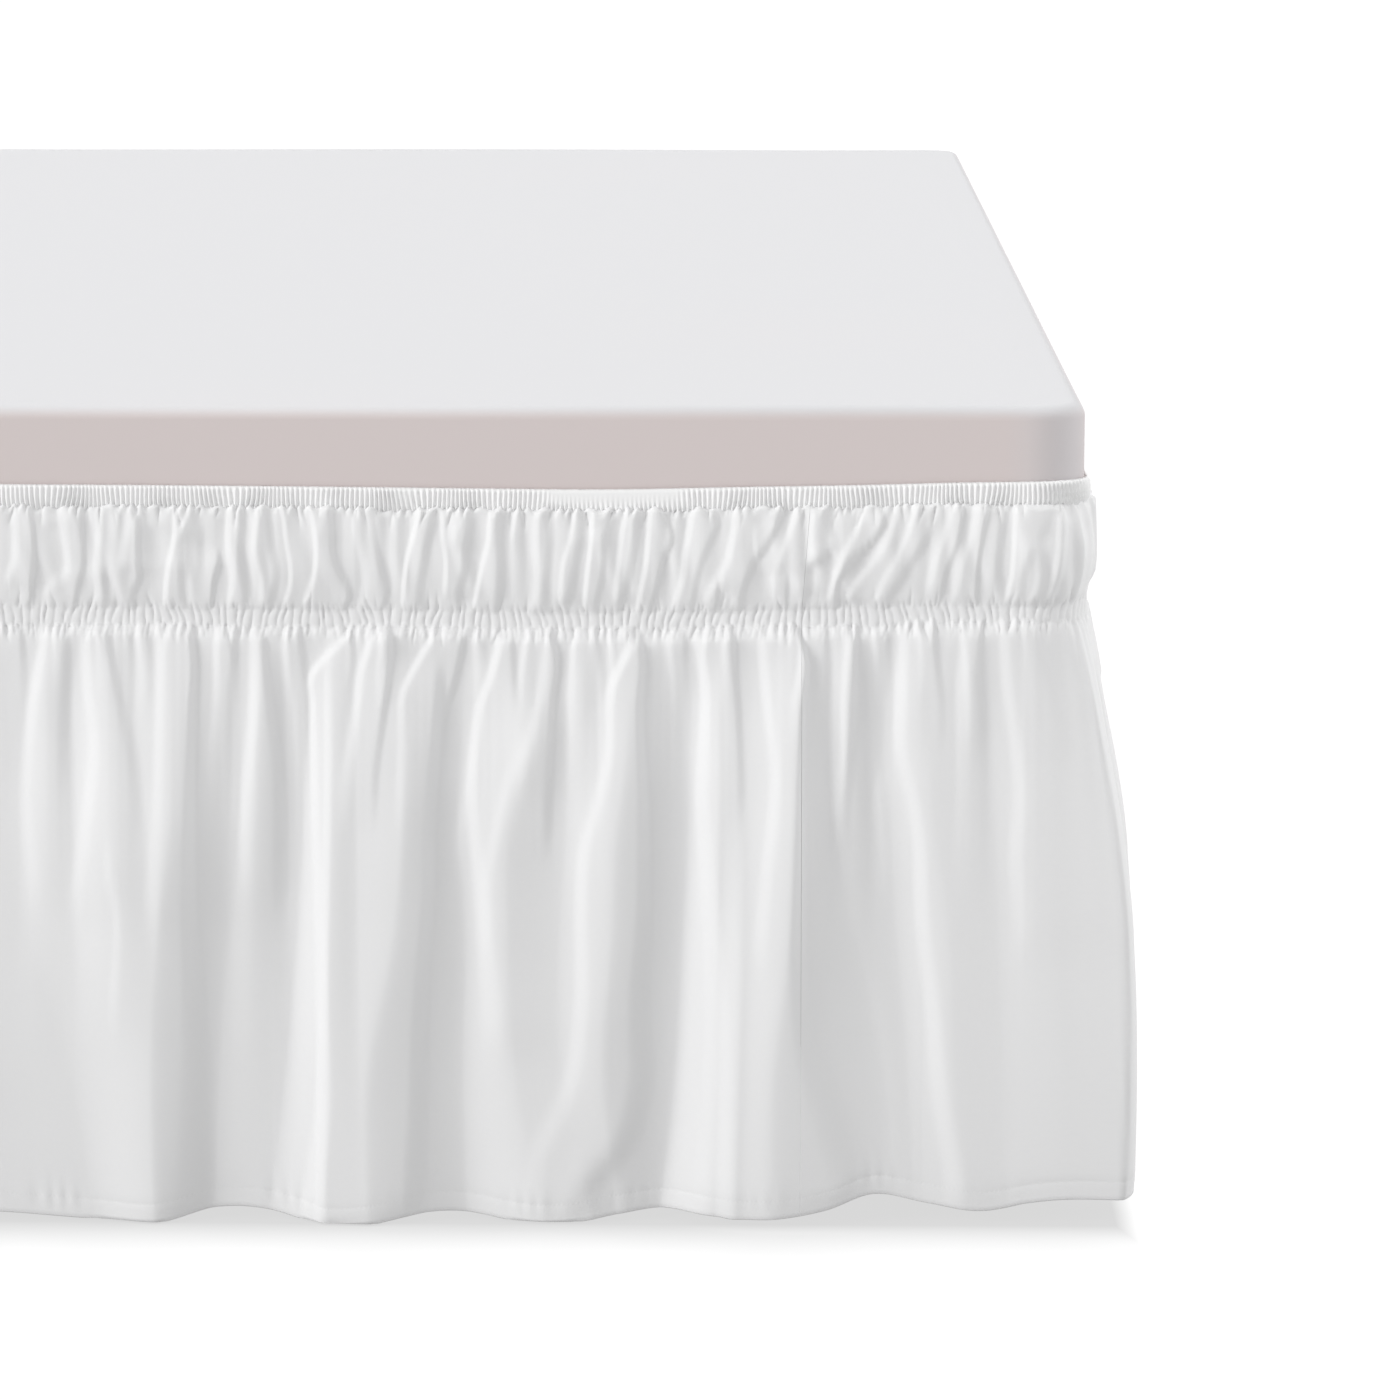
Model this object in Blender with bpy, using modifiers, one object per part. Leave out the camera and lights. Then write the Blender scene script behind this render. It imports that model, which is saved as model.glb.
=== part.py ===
"""Gathered bed skirt on a queen-size bed with its mattress, at real size in metres.

The skirt is four cloth panels sewn end to end. Their top edge is gathered into a ring of
ribbed elastic that grips the mattress, a second row of shirring draws them in again at the
waist, and below it they hang in loose folds to just above the floor. The mattress, the
base under it and its legs are plain.

Frame: +Z up, the foot of the bed towards -Y, the origin on the floor under the middle.
"""

import math
from collections import namedtuple

import bmesh
import bpy
from mathutils import Matrix, Vector

# Bed
BED_WIDTH = 1.520
BED_LENGTH = 2.030
MATTRESS_TOP = 0.4535
MATTRESS_THICK = 0.250
MATTRESS_CORNER = 0.045
MATTRESS_EDGE = 0.022
CORNER_STEPS = 6
EDGE_STEPS = 3
FIT_GAP = 0.0003

BASE_THICK = 0.110
BASE_INSET = 0.010
BASE_CORNER = 0.030
LEG_RADIUS = 0.028
LEG_SIDES = 16
LEG_IN_X = 0.075
LEG_IN_Y = 0.110

# Skirt, heights above the floor
ELASTIC_TOP = 0.4100
ELASTIC_BOTTOM = 0.3970
HEADING_TOP = 0.3930
WAIST_TOP = 0.3450
WAIST_BOTTOM = 0.3350
HEM = 0.0060
HEM_LIFT = 0.0050
CLOTH_THICK = 0.0020
ELASTIC_THICK = 0.0022
SEAM_GAP = 0.0005

# How far the cloth stands off the mattress side
WAIST_STAND = 0.0022
HEADING_BULGE = 0.0055
HEADING_FOLD = 0.45
HEM_STAND = 0.0130

# Seams: the panels of the two ends stop this far from the bed's corners
SEAM_FROM_SIDE = 0.155

# Heights of the rows of points down a panel
ROW_HEIGHTS = (
    ELASTIC_BOTTOM - FIT_GAP, HEADING_TOP, 0.378, 0.360, WAIST_TOP, WAIST_BOTTOM,
    0.316, 0.284, 0.240, 0.170, 0.085, HEM,
)
# Heights at which a fold's row of the table gives its crest and its rise
LEVELS = (WAIST_BOTTOM - 0.012, 0.272, 0.166, HEM)
WAIST_SQUEEZE = 0.65
SQUEEZE_DROP = 0.012
WIDTH_AT_WAIST = 0.40

# A fold: its crest's distance in from the bed's right side at the four levels, how far it
# reaches to the left and to the right of its crest at the hem, its rise at the four levels
Fold = namedtuple("Fold", "waist upper middle hem left right rise1 rise2 rise3 rise4")
FOOT_FOLDS = (
    Fold(0.565, 0.568, 0.580, 0.600, 0.045, 0.045, 0.005, 0.006, 0.005, 0.002),
    Fold(0.537, 0.535, 0.540, 0.560, 0.045, 0.040, 0.006, 0.007, 0.004, 0.000),
    Fold(0.490, 0.498, 0.509, 0.517, 0.085, 0.060, 0.007, 0.013, 0.024, 0.032),
    Fold(0.452, 0.450, 0.457, 0.460, 0.040, 0.040, 0.005, 0.006, 0.003, 0.000),
    Fold(0.410, 0.403, 0.394, 0.397, 0.046, 0.070, 0.007, 0.012, 0.022, 0.029),
    Fold(0.368, 0.366, 0.372, 0.380, 0.045, 0.040, 0.006, 0.009, 0.006, 0.000),
    Fold(0.320, 0.306, 0.312, 0.318, 0.055, 0.050, 0.007, 0.012, 0.014, 0.010),
    Fold(0.246, 0.250, 0.260, 0.288, 0.085, 0.060, 0.008, 0.014, 0.020, 0.028),
    Fold(0.193, 0.197, 0.190, 0.190, 0.040, 0.045, 0.006, 0.009, 0.010, 0.004),
    Fold(0.153, 0.156, 0.160, 0.172, 0.075, 0.058, 0.008, 0.015, 0.027, 0.031),
    Fold(0.127, 0.129, 0.124, 0.120, 0.030, 0.028, 0.005, 0.006, 0.004, 0.000),
    Fold(0.085, 0.078, 0.066, 0.058, 0.055, 0.050, 0.006, 0.008, 0.010, 0.009),
    Fold(0.010, 0.010, 0.010, 0.010, 0.070, 0.085, 0.005, 0.012, 0.018, 0.018),
)
TABLE_LEFT = 0.600
TABLE_RIGHT = -0.040
TABLE_PITCH = 0.0115

# Folds beyond the table: a crest at both ends of each stretch and evenly between, in order
# round the bed from the right foot corner; "runs" is how many folds the stretch holds
Stretch = namedtuple("Stretch", "name runs")
STRETCHES = (
    Stretch("right side", 17),
    Stretch("right head return", 1),
    Stretch("head", 10),
    Stretch("left head return", 1),
    Stretch("left side", 17),
    Stretch("left foot return", 1),
    Stretch("left of the foot", 7),
)
RUN_RISES = (0.006, 0.013, 0.024, 0.030)
RISE_SWING = 0.22
CREST_SWING = 0.12
RUN_REACH = 0.52
REACH_SWING = 0.08
WANDERS = (0.0036, 0.0084, 0.0120)
STATIONS_PER_FOLD = 4
LEAST_STATION = 0.006
RING_PITCH = 0.300

HALF_W = BED_WIDTH / 2
HALF_L = BED_LENGTH / 2
FACE_W = HALF_W - MATTRESS_CORNER
FACE_L = HALF_L - MATTRESS_CORNER
ARC = MATTRESS_CORNER * math.pi / 2
ROUND = 4 * FACE_W + 4 * FACE_L + 4 * ARC
CORNER_CREST = FACE_W + ARC / 2
LAST_CREST = ROUND + HALF_W - FOOT_FOLDS[2].hem
FULL_STAND = HEM_STAND + RUN_RISES[-1]

# Colours: linear, as the cloth and the plain bed show
WHITE = (0.860, 0.860, 0.860, 1.0)
PALE = (0.800, 0.795, 0.810, 1.0)
BEIGE = (0.520, 0.480, 0.460, 1.0)
WOOD = (0.330, 0.220, 0.140, 1.0)


def material(name, colour, roughness):
    """Return a plain material for one sub-part."""
    made = bpy.data.materials.new(name)
    made.use_nodes = True
    shader = made.node_tree.nodes["Principled BSDF"]
    shader.inputs["Base Color"].default_value = colour
    shader.inputs["Roughness"].default_value = roughness
    shader.inputs["Metallic"].default_value = 0.0
    return made


def add_part(name, bm, parts, finish):
    """Turn a bmesh into a smooth-shaded object of the bed's collection."""
    mesh = bpy.data.meshes.new(name)
    bm.to_mesh(mesh)
    bm.free()
    mesh.shade_smooth()
    mesh.set_sharp_from_angle(angle=math.radians(50))
    made = bpy.data.objects.new(name, mesh)
    made.data.materials.append(finish)
    parts.objects.link(made)
    return made


def outline(t):
    """Return the point and the outward direction on the mattress side at distance t.

    t runs anticlockwise seen from above, from the middle of the foot.
    """
    t = t % ROUND
    corners = (
        (FACE_W, Vector((FACE_W, -FACE_L)), -90),
        (2 * FACE_L, Vector((FACE_W, FACE_L)), 0),
        (2 * FACE_W, Vector((-FACE_W, FACE_L)), 90),
        (2 * FACE_L, Vector((-FACE_W, -FACE_L)), 180),
    )
    for straight, centre, first_angle in corners:
        out = Vector((math.cos(math.radians(first_angle)), math.sin(math.radians(first_angle))))
        along = Vector((-out.y, out.x))
        if t <= straight:
            return centre + out * MATTRESS_CORNER - along * (straight - t), out
        t -= straight
        if t <= ARC:
            angle = math.radians(first_angle) + t / MATTRESS_CORNER
            out = Vector((math.cos(angle), math.sin(angle)))
            return centre + out * MATTRESS_CORNER, out
        t -= ARC
    out = Vector((0.0, -1.0))
    return Vector((-FACE_W + t, -HALF_L)), out


def between_levels(height, values):
    """Return the value of a four-level column at a height, held level past both ends."""
    if height >= LEVELS[0]:
        return values[0]
    for upper, lower, above, below in zip(LEVELS, LEVELS[1:], values, values[1:]):
        if height >= lower:
            return above + (below - above) * (upper - height) / (upper - lower)
    return values[-1]


def swing(index, channel):
    """Return an uneven number from -1 to 1 for a fold, the same on each run."""
    return math.sin(index * 2.399 + channel * 1.7 + math.sin(index * 1.31 + channel))


def run_folds():
    """Return the folds beyond the table, with their crests as distances round the bed."""
    seam = HALF_W - SEAM_FROM_SIDE
    half = ROUND / 2
    ends = (
        CORNER_CREST, half - CORNER_CREST, half - seam, half + seam,
        half + CORNER_CREST, ROUND - CORNER_CREST, ROUND - seam, LAST_CREST,
    )
    folds = []
    for stretch, start, end in zip(STRETCHES, ends, ends[1:]):
        pitch = (end - start) / stretch.runs
        made = stretch.runs if end < LAST_CREST else stretch.runs - 1
        for run in range(1, made + 1):
            number = len(folds)
            loose = 0.0 if run == stretch.runs else 1.0
            crest = start + pitch * (run + loose * CREST_SWING * swing(number, 1))
            size = 1.0 + RISE_SWING * swing(number, 2)
            lean = REACH_SWING * swing(number, 3)
            folds.append(Fold(
                crest,
                *(crest + loose * wander * swing(number, 4) for wander in WANDERS),
                pitch * (RUN_REACH + lean),
                pitch * (RUN_REACH - lean),
                *(rise * size for rise in RUN_RISES),
            ))
    return folds


def all_folds():
    """Return every fold, with its crests as distances round the bed."""
    table = [
        row._replace(
            waist=HALF_W - row.waist, upper=HALF_W - row.upper,
            middle=HALF_W - row.middle, hem=HALF_W - row.hem,
        )
        for row in FOOT_FOLDS
    ]
    return table + run_folds()


FOLDS = all_folds()


def fold_rise(t, height):
    """Return how far the folds lift the cloth at a distance round the bed and a height."""
    down = (WAIST_BOTTOM - height) / (WAIST_BOTTOM - HEM)
    reach = WIDTH_AT_WAIST + (1 - WIDTH_AT_WAIST) * math.sqrt(max(down, 0.0))
    total = 0.0
    for fold in FOLDS:
        crest = between_levels(height, (fold.waist, fold.upper, fold.middle, fold.hem))
        off = (t - crest + ROUND / 2) % ROUND - ROUND / 2
        side = fold.right if off > 0 else fold.left
        share = off / (side * reach)
        if abs(share) < 1:
            rise = between_levels(height, (fold.rise1, fold.rise2, fold.rise3, fold.rise4))
            total += rise * (1 - share * share) ** 2
    return total


def stand_off(t, height):
    """Return how far the inner face of the cloth stands off the mattress side."""
    if height >= WAIST_BOTTOM:
        in_heading = min(max((HEADING_TOP - height) / (HEADING_TOP - WAIST_TOP), 0.0), 1.0)
        bulge = math.sin(math.pi * in_heading)
        fold = HEADING_FOLD * fold_rise(t, LEVELS[0])
        drawn_in = FIT_GAP + (WAIST_STAND - FIT_GAP) * in_heading
        return drawn_in + bulge * (HEADING_BULGE + fold)
    drop = WAIST_BOTTOM - height
    down = drop / (WAIST_BOTTOM - HEM)
    freed = 1 - WAIST_SQUEEZE * math.exp(-drop / SQUEEZE_DROP)
    return WAIST_STAND + (HEM_STAND - WAIST_STAND) * down + freed * fold_rise(t, height)


def cloth_point(t, height):
    """Return the place of a point of the cloth's inner face."""
    on_side, out = outline(t)
    stand = stand_off(t, height)
    flat = on_side + out * stand
    lift = HEM_LIFT * (1 - height / WAIST_BOTTOM) ** 2 if height < WAIST_BOTTOM else 0.0
    slack = 1 - min(stand / FULL_STAND, 1.0)
    return Vector((flat.x, flat.y, height + lift * slack))


def in_corner(t):
    """Tell whether a distance round the bed lies on one of its rounded corners."""
    half = ROUND / 2
    near = t % half
    return FACE_W < near < FACE_W + ARC or half - FACE_W - ARC < near < half - FACE_W


def corner_stations():
    """Return the distances of the corner points of the mattress outline, all round."""
    half = ROUND / 2
    starts = (FACE_W, half - FACE_W - ARC, half + FACE_W, ROUND - FACE_W - ARC)
    return [start + ARC * step / CORNER_STEPS for start in starts for step in range(CORNER_STEPS + 1)]


def ring_stations():
    """Return the distances of the columns of a ring, its first and last ones the same place."""
    fixed = corner_stations()
    fixed.append(fixed[0] + ROUND)
    places = []
    for near, far in zip(fixed, fixed[1:]):
        steps = math.ceil((far - near) / RING_PITCH)
        places += [near + (far - near) * step / steps for step in range(steps)]
    return [*places, fixed[-1]]


def fold_stations():
    """Return distances that catch every crest, every trough and the slopes between them."""
    table = HALF_W - TABLE_LEFT
    table_steps = round((TABLE_LEFT - TABLE_RIGHT) / TABLE_PITCH)
    places = [table + TABLE_PITCH * step for step in range(table_steps)]
    runs = sorted(fold.middle for fold in run_folds())
    crests = [CORNER_CREST, *runs, LAST_CREST]
    for near, far in zip(crests, crests[1:]):
        for step in range(STATIONS_PER_FOLD):
            place = near + (far - near) * step / STATIONS_PER_FOLD
            if HALF_W - TABLE_RIGHT < place < ROUND + table:
                places.append(place)
    return places


def stations(start, end):
    """Return the distances of a panel's columns of points from its start to its end."""
    turns = (-ROUND, 0, ROUND)
    corners = [t + turn for t in corner_stations() for turn in turns]
    fixed = [start, end, *(t for t in corners if start < t < end)]
    for place in sorted(t + turn for t in fold_stations() for turn in turns):
        clear = all(abs(place - other) > LEAST_STATION for other in fixed)
        if start < place < end and clear and not in_corner(place):
            fixed.append(place)
    return sorted(fixed)


def thicken(part, thickness):
    """Give an open surface its thickness on the outer side."""
    wall = part.modifiers.new("thickness", "SOLIDIFY")
    wall.thickness = thickness
    wall.offset = 1.0
    wall.use_even_offset = False


def panel(name, start, end, parts, finish):
    """Make one cloth panel of the skirt between two seams."""
    columns = stations(start + SEAM_GAP / 2, end - SEAM_GAP / 2)
    rows = ROW_HEIGHTS[::-1]
    bm = bmesh.new()
    bmesh.ops.create_grid(bm, x_segments=len(columns) - 1, y_segments=len(rows) - 1, size=0.5)
    for vert in bm.verts:
        column = round((vert.co.x + 0.5) * (len(columns) - 1))
        row = round((vert.co.y + 0.5) * (len(rows) - 1))
        vert.co = cloth_point(columns[column], rows[row])
    thicken(add_part(name, bm, parts, finish), CLOTH_THICK)


def elastic_ring(parts, finish):
    """Make the ribbed elastic's closed ring round the mattress side."""
    columns = ring_stations()
    bm = bmesh.new()
    bmesh.ops.create_grid(bm, x_segments=len(columns) - 1, y_segments=1, size=0.5)
    for vert in bm.verts:
        on_side, out = outline(columns[round((vert.co.x + 0.5) * (len(columns) - 1))])
        flat = on_side + out * FIT_GAP
        vert.co = (flat.x, flat.y, ELASTIC_TOP if vert.co.y > 0 else ELASTIC_BOTTOM)
    bmesh.ops.remove_doubles(bm, verts=bm.verts, dist=0.0001)
    thicken(add_part("top_elastic", bm, parts, finish), ELASTIC_THICK)


def box(size, centre, corner, corner_steps):
    """Return a bmesh of a box whose upright edges are rounded."""
    bm = bmesh.new()
    bmesh.ops.create_cube(bm, size=1.0, matrix=Matrix.Translation(centre) @ Matrix.Diagonal((*size, 1.0)))
    upright = [edge for edge in bm.edges if abs(edge.verts[0].co.z - edge.verts[1].co.z) > size[2] / 2]
    bmesh.ops.bevel(
        bm, geom=upright, offset=corner, segments=corner_steps,
        profile=0.5, affect="EDGES", material=-1,
    )
    return bm


def mattress(parts, finish):
    """Make the mattress with its soft top and bottom edges."""
    middle = MATTRESS_TOP - MATTRESS_THICK / 2
    bm = box((BED_WIDTH, BED_LENGTH, MATTRESS_THICK), (0.0, 0.0, middle), MATTRESS_CORNER, CORNER_STEPS)
    rims = [
        edge for edge in bm.edges
        if abs(edge.verts[0].co.z - edge.verts[1].co.z) < FIT_GAP
        and edge.calc_face_angle() > math.radians(60)
    ]
    bmesh.ops.bevel(
        bm, geom=rims, offset=MATTRESS_EDGE, segments=EDGE_STEPS,
        profile=0.5, affect="EDGES", material=-1,
    )
    add_part("mattress", bm, parts, finish)


def bed_base(parts, finish):
    """Make the plain base under the mattress."""
    top = MATTRESS_TOP - MATTRESS_THICK - FIT_GAP
    size = (BED_WIDTH - 2 * BASE_INSET, BED_LENGTH - 2 * BASE_INSET, BASE_THICK)
    bm = box(size, (0.0, 0.0, top - BASE_THICK / 2), BASE_CORNER, CORNER_STEPS)
    add_part("bed_base", bm, parts, finish)


def legs(parts, finish):
    """Make the six plain legs, three down each side of the base."""
    height = MATTRESS_TOP - MATTRESS_THICK - BASE_THICK - 2 * FIT_GAP
    for side, x in (("left", LEG_IN_X - HALF_W), ("right", HALF_W - LEG_IN_X)):
        for place, y in (("foot", LEG_IN_Y - HALF_L), ("middle", 0.0), ("head", HALF_L - LEG_IN_Y)):
            bm = bmesh.new()
            bmesh.ops.create_cone(
                bm, cap_ends=True, segments=LEG_SIDES, radius1=LEG_RADIUS, radius2=LEG_RADIUS,
                depth=height, matrix=Matrix.Translation((x, y, height / 2)),
            )
            add_part(f"leg_{side}_{place}", bm, parts, finish)


def main():
    """Build the bed and its skirt."""
    for old in list(bpy.data.objects):
        bpy.data.objects.remove(old)
    parts = bpy.data.collections.new("bed_skirt")
    bpy.context.scene.collection.children.link(parts)
    mattress(parts, material("mattress_cover", PALE, 0.85))
    bed_base(parts, material("base_cloth", BEIGE, 0.90))
    legs(parts, material("leg_wood", WOOD, 0.55))
    elastic_ring(parts, material("elastic_white", WHITE, 0.70))
    seam = HALF_W - SEAM_FROM_SIDE
    half = ROUND / 2
    for name, start, end in (
        ("skirt_foot", -seam, seam),
        ("skirt_right", seam, half - seam),
        ("skirt_head", half - seam, half + seam),
        ("skirt_left", half + seam, ROUND - seam),
    ):
        panel(name, start, end, parts, material(name + "_cloth", WHITE, 0.60))


main()
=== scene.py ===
"""Gathered bed skirt on a queen-size bed, dressed and lit, at real size in metres.

The four cloth panels, the ribbed elastic that holds them and the fitted sheet on the
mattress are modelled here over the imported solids. The base and the legs keep their solids
and get their finishes.

Places round the bed are distances along the mattress side, anticlockwise seen from above,
from the middle of the foot. Heights are above the floor. The folds of the right half of the
foot are in tables, each by its crest's distance in from the bed's right side.
"""

import logging
import math
from dataclasses import dataclass
from enum import Enum
from typing import Any, Callable, NamedTuple, Sequence

import bmesh
import bpy
import numpy as np
from mathutils import Matrix, Vector, noise


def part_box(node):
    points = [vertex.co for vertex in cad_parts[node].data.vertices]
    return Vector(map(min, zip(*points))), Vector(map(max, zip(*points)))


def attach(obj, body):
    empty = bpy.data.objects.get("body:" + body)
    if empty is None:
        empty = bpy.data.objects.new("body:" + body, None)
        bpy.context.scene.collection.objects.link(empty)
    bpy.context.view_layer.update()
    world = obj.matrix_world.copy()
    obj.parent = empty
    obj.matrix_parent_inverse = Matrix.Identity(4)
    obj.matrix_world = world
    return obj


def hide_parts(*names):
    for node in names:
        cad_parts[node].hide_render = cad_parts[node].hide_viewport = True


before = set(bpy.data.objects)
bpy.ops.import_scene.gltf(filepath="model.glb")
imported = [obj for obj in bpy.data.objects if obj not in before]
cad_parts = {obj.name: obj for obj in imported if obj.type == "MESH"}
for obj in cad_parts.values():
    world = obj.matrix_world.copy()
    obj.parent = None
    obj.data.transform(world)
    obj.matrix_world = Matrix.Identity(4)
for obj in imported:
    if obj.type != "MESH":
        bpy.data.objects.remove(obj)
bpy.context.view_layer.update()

BODY = "root"
LOG = logging.getLogger("bed_skirt")

MATTRESS_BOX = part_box("mattress")
ELASTIC_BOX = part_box("top_elastic")
PANEL_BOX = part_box("skirt_foot")

# The skirt's heights, as on its solids
ELASTIC_TOP = ELASTIC_BOX[1].z
ELASTIC_FOOT = ELASTIC_BOX[0].z
HEADING_TOP = 0.3945
WAIST_TOP = 0.3430
WAIST_FOOT = 0.3325
HEM = PANEL_BOX[0].z
HEM_DEPTH = 0.0110

# How far the cloth stands off the mattress side
WAIST_STAND = 0.0024
HEADING_BULGE = 0.0016
HEM_CLEAR = 0.0016
HEM_STAND = 0.0130
CLEAR = 0.0008

# Heights for which a fold's row gives its crest and its rise, and those for its two reaches
LEVELS = (0.010, 0.087, 0.166, 0.256, 0.308, 0.330)
REACH_LEVELS = (0.010, 0.166, 0.330)

SEAM_FROM_SIDE = 0.155
SEAM_GAP = 0.0001

# The heading's creases, in millimetres: how wide they are and how far the cloth eases back, each
# with its unevenness, and the share of the table's step that shows
HEADING_WIDTH = (4.9, 1.7)
HEADING_EASE = (9.0, 3.0)
HEADING_SHOWN = 0.80

# How far the elastic rides up at a corner and how wide of it, and its sway between the corners
CORNER_LIFT = 0.0056
CORNER_LIFT_REACH = 0.10
TOP_SWAY = (0.0, 0.0006, 3.1)

MM = 0.001
LEAST_SPAN = 1e-6
Points = np.ndarray


class Edge(Enum):
    """How a flank of a fold runs from its crest to its foot: the two powers of its curve."""

    SOFT = (2.0, 2.0)
    CREASED_FOOT = (2.0, 1.15)


class Fold(NamedTuple):
    """One fold of the skirt's right front, its crest given in from the bed's right side.

    crest and rise have a value at each of the heights in LEVELS from the waist down; left and
    right are how far the two flanks reach at the waist, half way and at the hem.
    """

    crest: tuple[float, ...]
    rise: tuple[float, ...]
    left: tuple[float, float, float]
    right: tuple[float, float, float]
    left_edge: Edge = Edge.SOFT
    right_edge: Edge = Edge.SOFT


FOOT_FOLDS = (
    Fold((0.560, 0.566, 0.568, 0.570, 0.572, 0.572), (0.0000, 0.0020, 0.0026, 0.0010, 0.0000, 0.0000),
         (0.012, 0.018, 0.020), (0.012, 0.018, 0.020)),
    Fold((0.534, 0.535, 0.533, 0.532, 0.530, 0.530), (0.0000, 0.0018, 0.0036, 0.0020, 0.0000, 0.0000),
         (0.018, 0.024, 0.024), (0.014, 0.022, 0.024)),
    Fold((0.452, 0.451, 0.452, 0.456, 0.456, 0.456), (0.0000, 0.0020, 0.0030, 0.0018, 0.0006, 0.0000),
         (0.008, 0.014, 0.020), (0.010, 0.020, 0.024)),
    Fold((0.411, 0.411, 0.411, 0.413, 0.415, 0.416), (0.0000, 0.0010, 0.0016, 0.0022, 0.0026, 0.0020),
         (0.005, 0.006, 0.008), (0.010, 0.016, 0.020), Edge.CREASED_FOOT, Edge.SOFT),
    Fold((0.275, 0.275, 0.275, 0.275, 0.275, 0.275), (0.0000, 0.0014, 0.0008, 0.0000, 0.0000, 0.0000),
         (0.010, 0.014, 0.014), (0.008, 0.012, 0.014)),
    Fold((0.128, 0.129, 0.127, 0.126, 0.126, 0.126), (0.0000, 0.0020, 0.0022, 0.0006, 0.0000, 0.0000),
         (0.010, 0.014, 0.020), (0.010, 0.012, 0.014)),
    Fold((0.061, 0.063, 0.062, 0.062, 0.062, 0.062), (0.0000, 0.0016, 0.0012, 0.0000, 0.0000, 0.0000),
         (0.008, 0.012, 0.012), (0.010, 0.012, 0.012)),
    Fold((-0.088, -0.086, -0.086, -0.090, -0.096, -0.102), (0.002, 0.011, 0.020, 0.025, 0.023, 0.019),
         (0.038, 0.046, 0.050), (0.050, 0.064, 0.070)),
)


class Knot(NamedTuple):
    """One trough or crest of the large folds, in from the bed's right side, and its stand.

    places and stands have a value in millimetres at each of the heights in KNOT_LEVELS, from the
    waist down.
    """

    places: tuple[float, ...]
    stands: tuple[float, ...]


KNOT_LEVELS = (0.010, 0.087, 0.166, 0.228, 0.256, 0.290, 0.308, 0.330)
LARGE_FOLDS = (
    Knot((650, 650, 650, 650, 650, 650, 650, 650), (0.0, 0.0, 0.0, 0.0, 0.0, 0.0, 0.0, 0.0)),
    Knot((608, 608, 608, 612, 614, 610, 602, 598), (0.2, 0.2, 0.2, 0.6, 1.4, 3.2, 5.2, 7.2)),
    Knot((571, 578, 581, 590, 595, 583, 560, 548), (0.6, 0.4, 0.6, 1.0, 2.0, 4.0, 6.0, 8.0)),
    Knot((490, 497, 498, 500, 501, 509, 514, 513), (1.2, 5.0, 8.0, 12.0, 15.0, 14.5, 13.5, 15.0)),
    Knot((464, 464, 464, 465, 468, 470, 476, 480), (1.0, 2.6, 3.6, 5.0, 6.0, 3.6, 2.4, 1.6)),
    Knot((417, 424, 425, 428, 429, 433, 440, 450), (0.6, 0.8, 1.6, 2.4, 2.6, 1.0, 1.0, 1.6)),
    Knot((403, 411, 411, 411, 412, 414, 416, 416), (0.8, 3.0, 5.0, 8.0, 9.0, 9.0, 9.5, 11.0)),
    Knot((378, 380, 378, 374, 374, 379, 394, 394), (0.8, 3.6, 6.0, 9.8, 12.0, 12.5, 13.0, 15.0)),
    Knot((340, 338, 340, 342, 344, 340, 342, 340), (0.6, 0.6, 1.0, 2.4, 2.4, 1.6, 1.0, 2.0)),
    Knot((314, 318, 302, 306, 314, 316, 312, 297), (1.2, 3.0, 6.0, 9.6, 9.0, 7.0, 7.0, 11.0)),
    Knot((290, 290, 283, 283, 284, 288, 288, 272), (1.0, 2.6, 4.0, 6.0, 6.0, 5.6, 6.6, 10.0)),
    Knot((245, 247, 249, 252, 256, 259, 265, 256), (1.4, 4.6, 7.6, 11.0, 12.0, 10.6, 9.4, 6.4)),
    Knot((214, 213, 215, 217, 217, 220, 224, 232), (0.4, 1.0, 1.8, 3.0, 2.6, 1.0, 0.6, 0.0)),
    Knot((194, 196, 199, 199, 199, 200, 201, 203), (1.0, 3.2, 5.0, 9.0, 9.6, 8.6, 10.0, 12.0)),
    Knot((180, 182, 183, 184, 185, 186, 188, 190), (0.8, 2.6, 4.2, 8.6, 10.4, 12.5, 14.5, 17.0)),
    Knot((154, 154, 154, 156, 157, 161, 170, 171), (1.4, 5.0, 8.0, 12.0, 15.0, 17.0, 17.5, 20.0)),
    Knot((136, 138, 139, 138, 137, 125, 108, 102), (1.0, 2.6, 3.6, 4.4, 5.0, 4.2, 3.6, 5.4)),
    Knot((103, 106, 109, 110, 107, 103, 96, 92), (0.0, 0.0, 0.4, 0.6, 1.0, 2.0, 3.0, 5.0)),
    Knot((84, 88, 90, 85, 83, 74, 70, 62), (1.0, 2.4, 3.4, 4.6, 5.0, 6.0, 6.4, 7.0)),
    Knot((51, 51, 51, 50, 49, 47, 44, 42), (0.2, 0.6, 1.0, 2.0, 3.0, 4.6, 5.8, 6.8)),
    Knot((20, 20, 21, 23, 24, 22, 18, 18), (1.0, 2.6, 4.0, 5.6, 6.6, 7.8, 8.0, 8.0)),
    Knot((-16, -16, -16, -16, -16, -16, -16, -16), (1.0, 2.6, 4.0, 5.4, 6.4, 7.6, 8.0, 8.0)),
    Knot((-42, -42, -42, -42, -42, -42, -42, -42), (0.4, 0.8, 1.2, 2.0, 2.6, 3.0, 3.0, 3.0)),
    Knot((-66, -66, -66, -66, -66, -66, -66, -66), (0.0, 0.0, 0.0, 0.0, 0.0, 0.0, 0.0, 0.0)),
)


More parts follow.
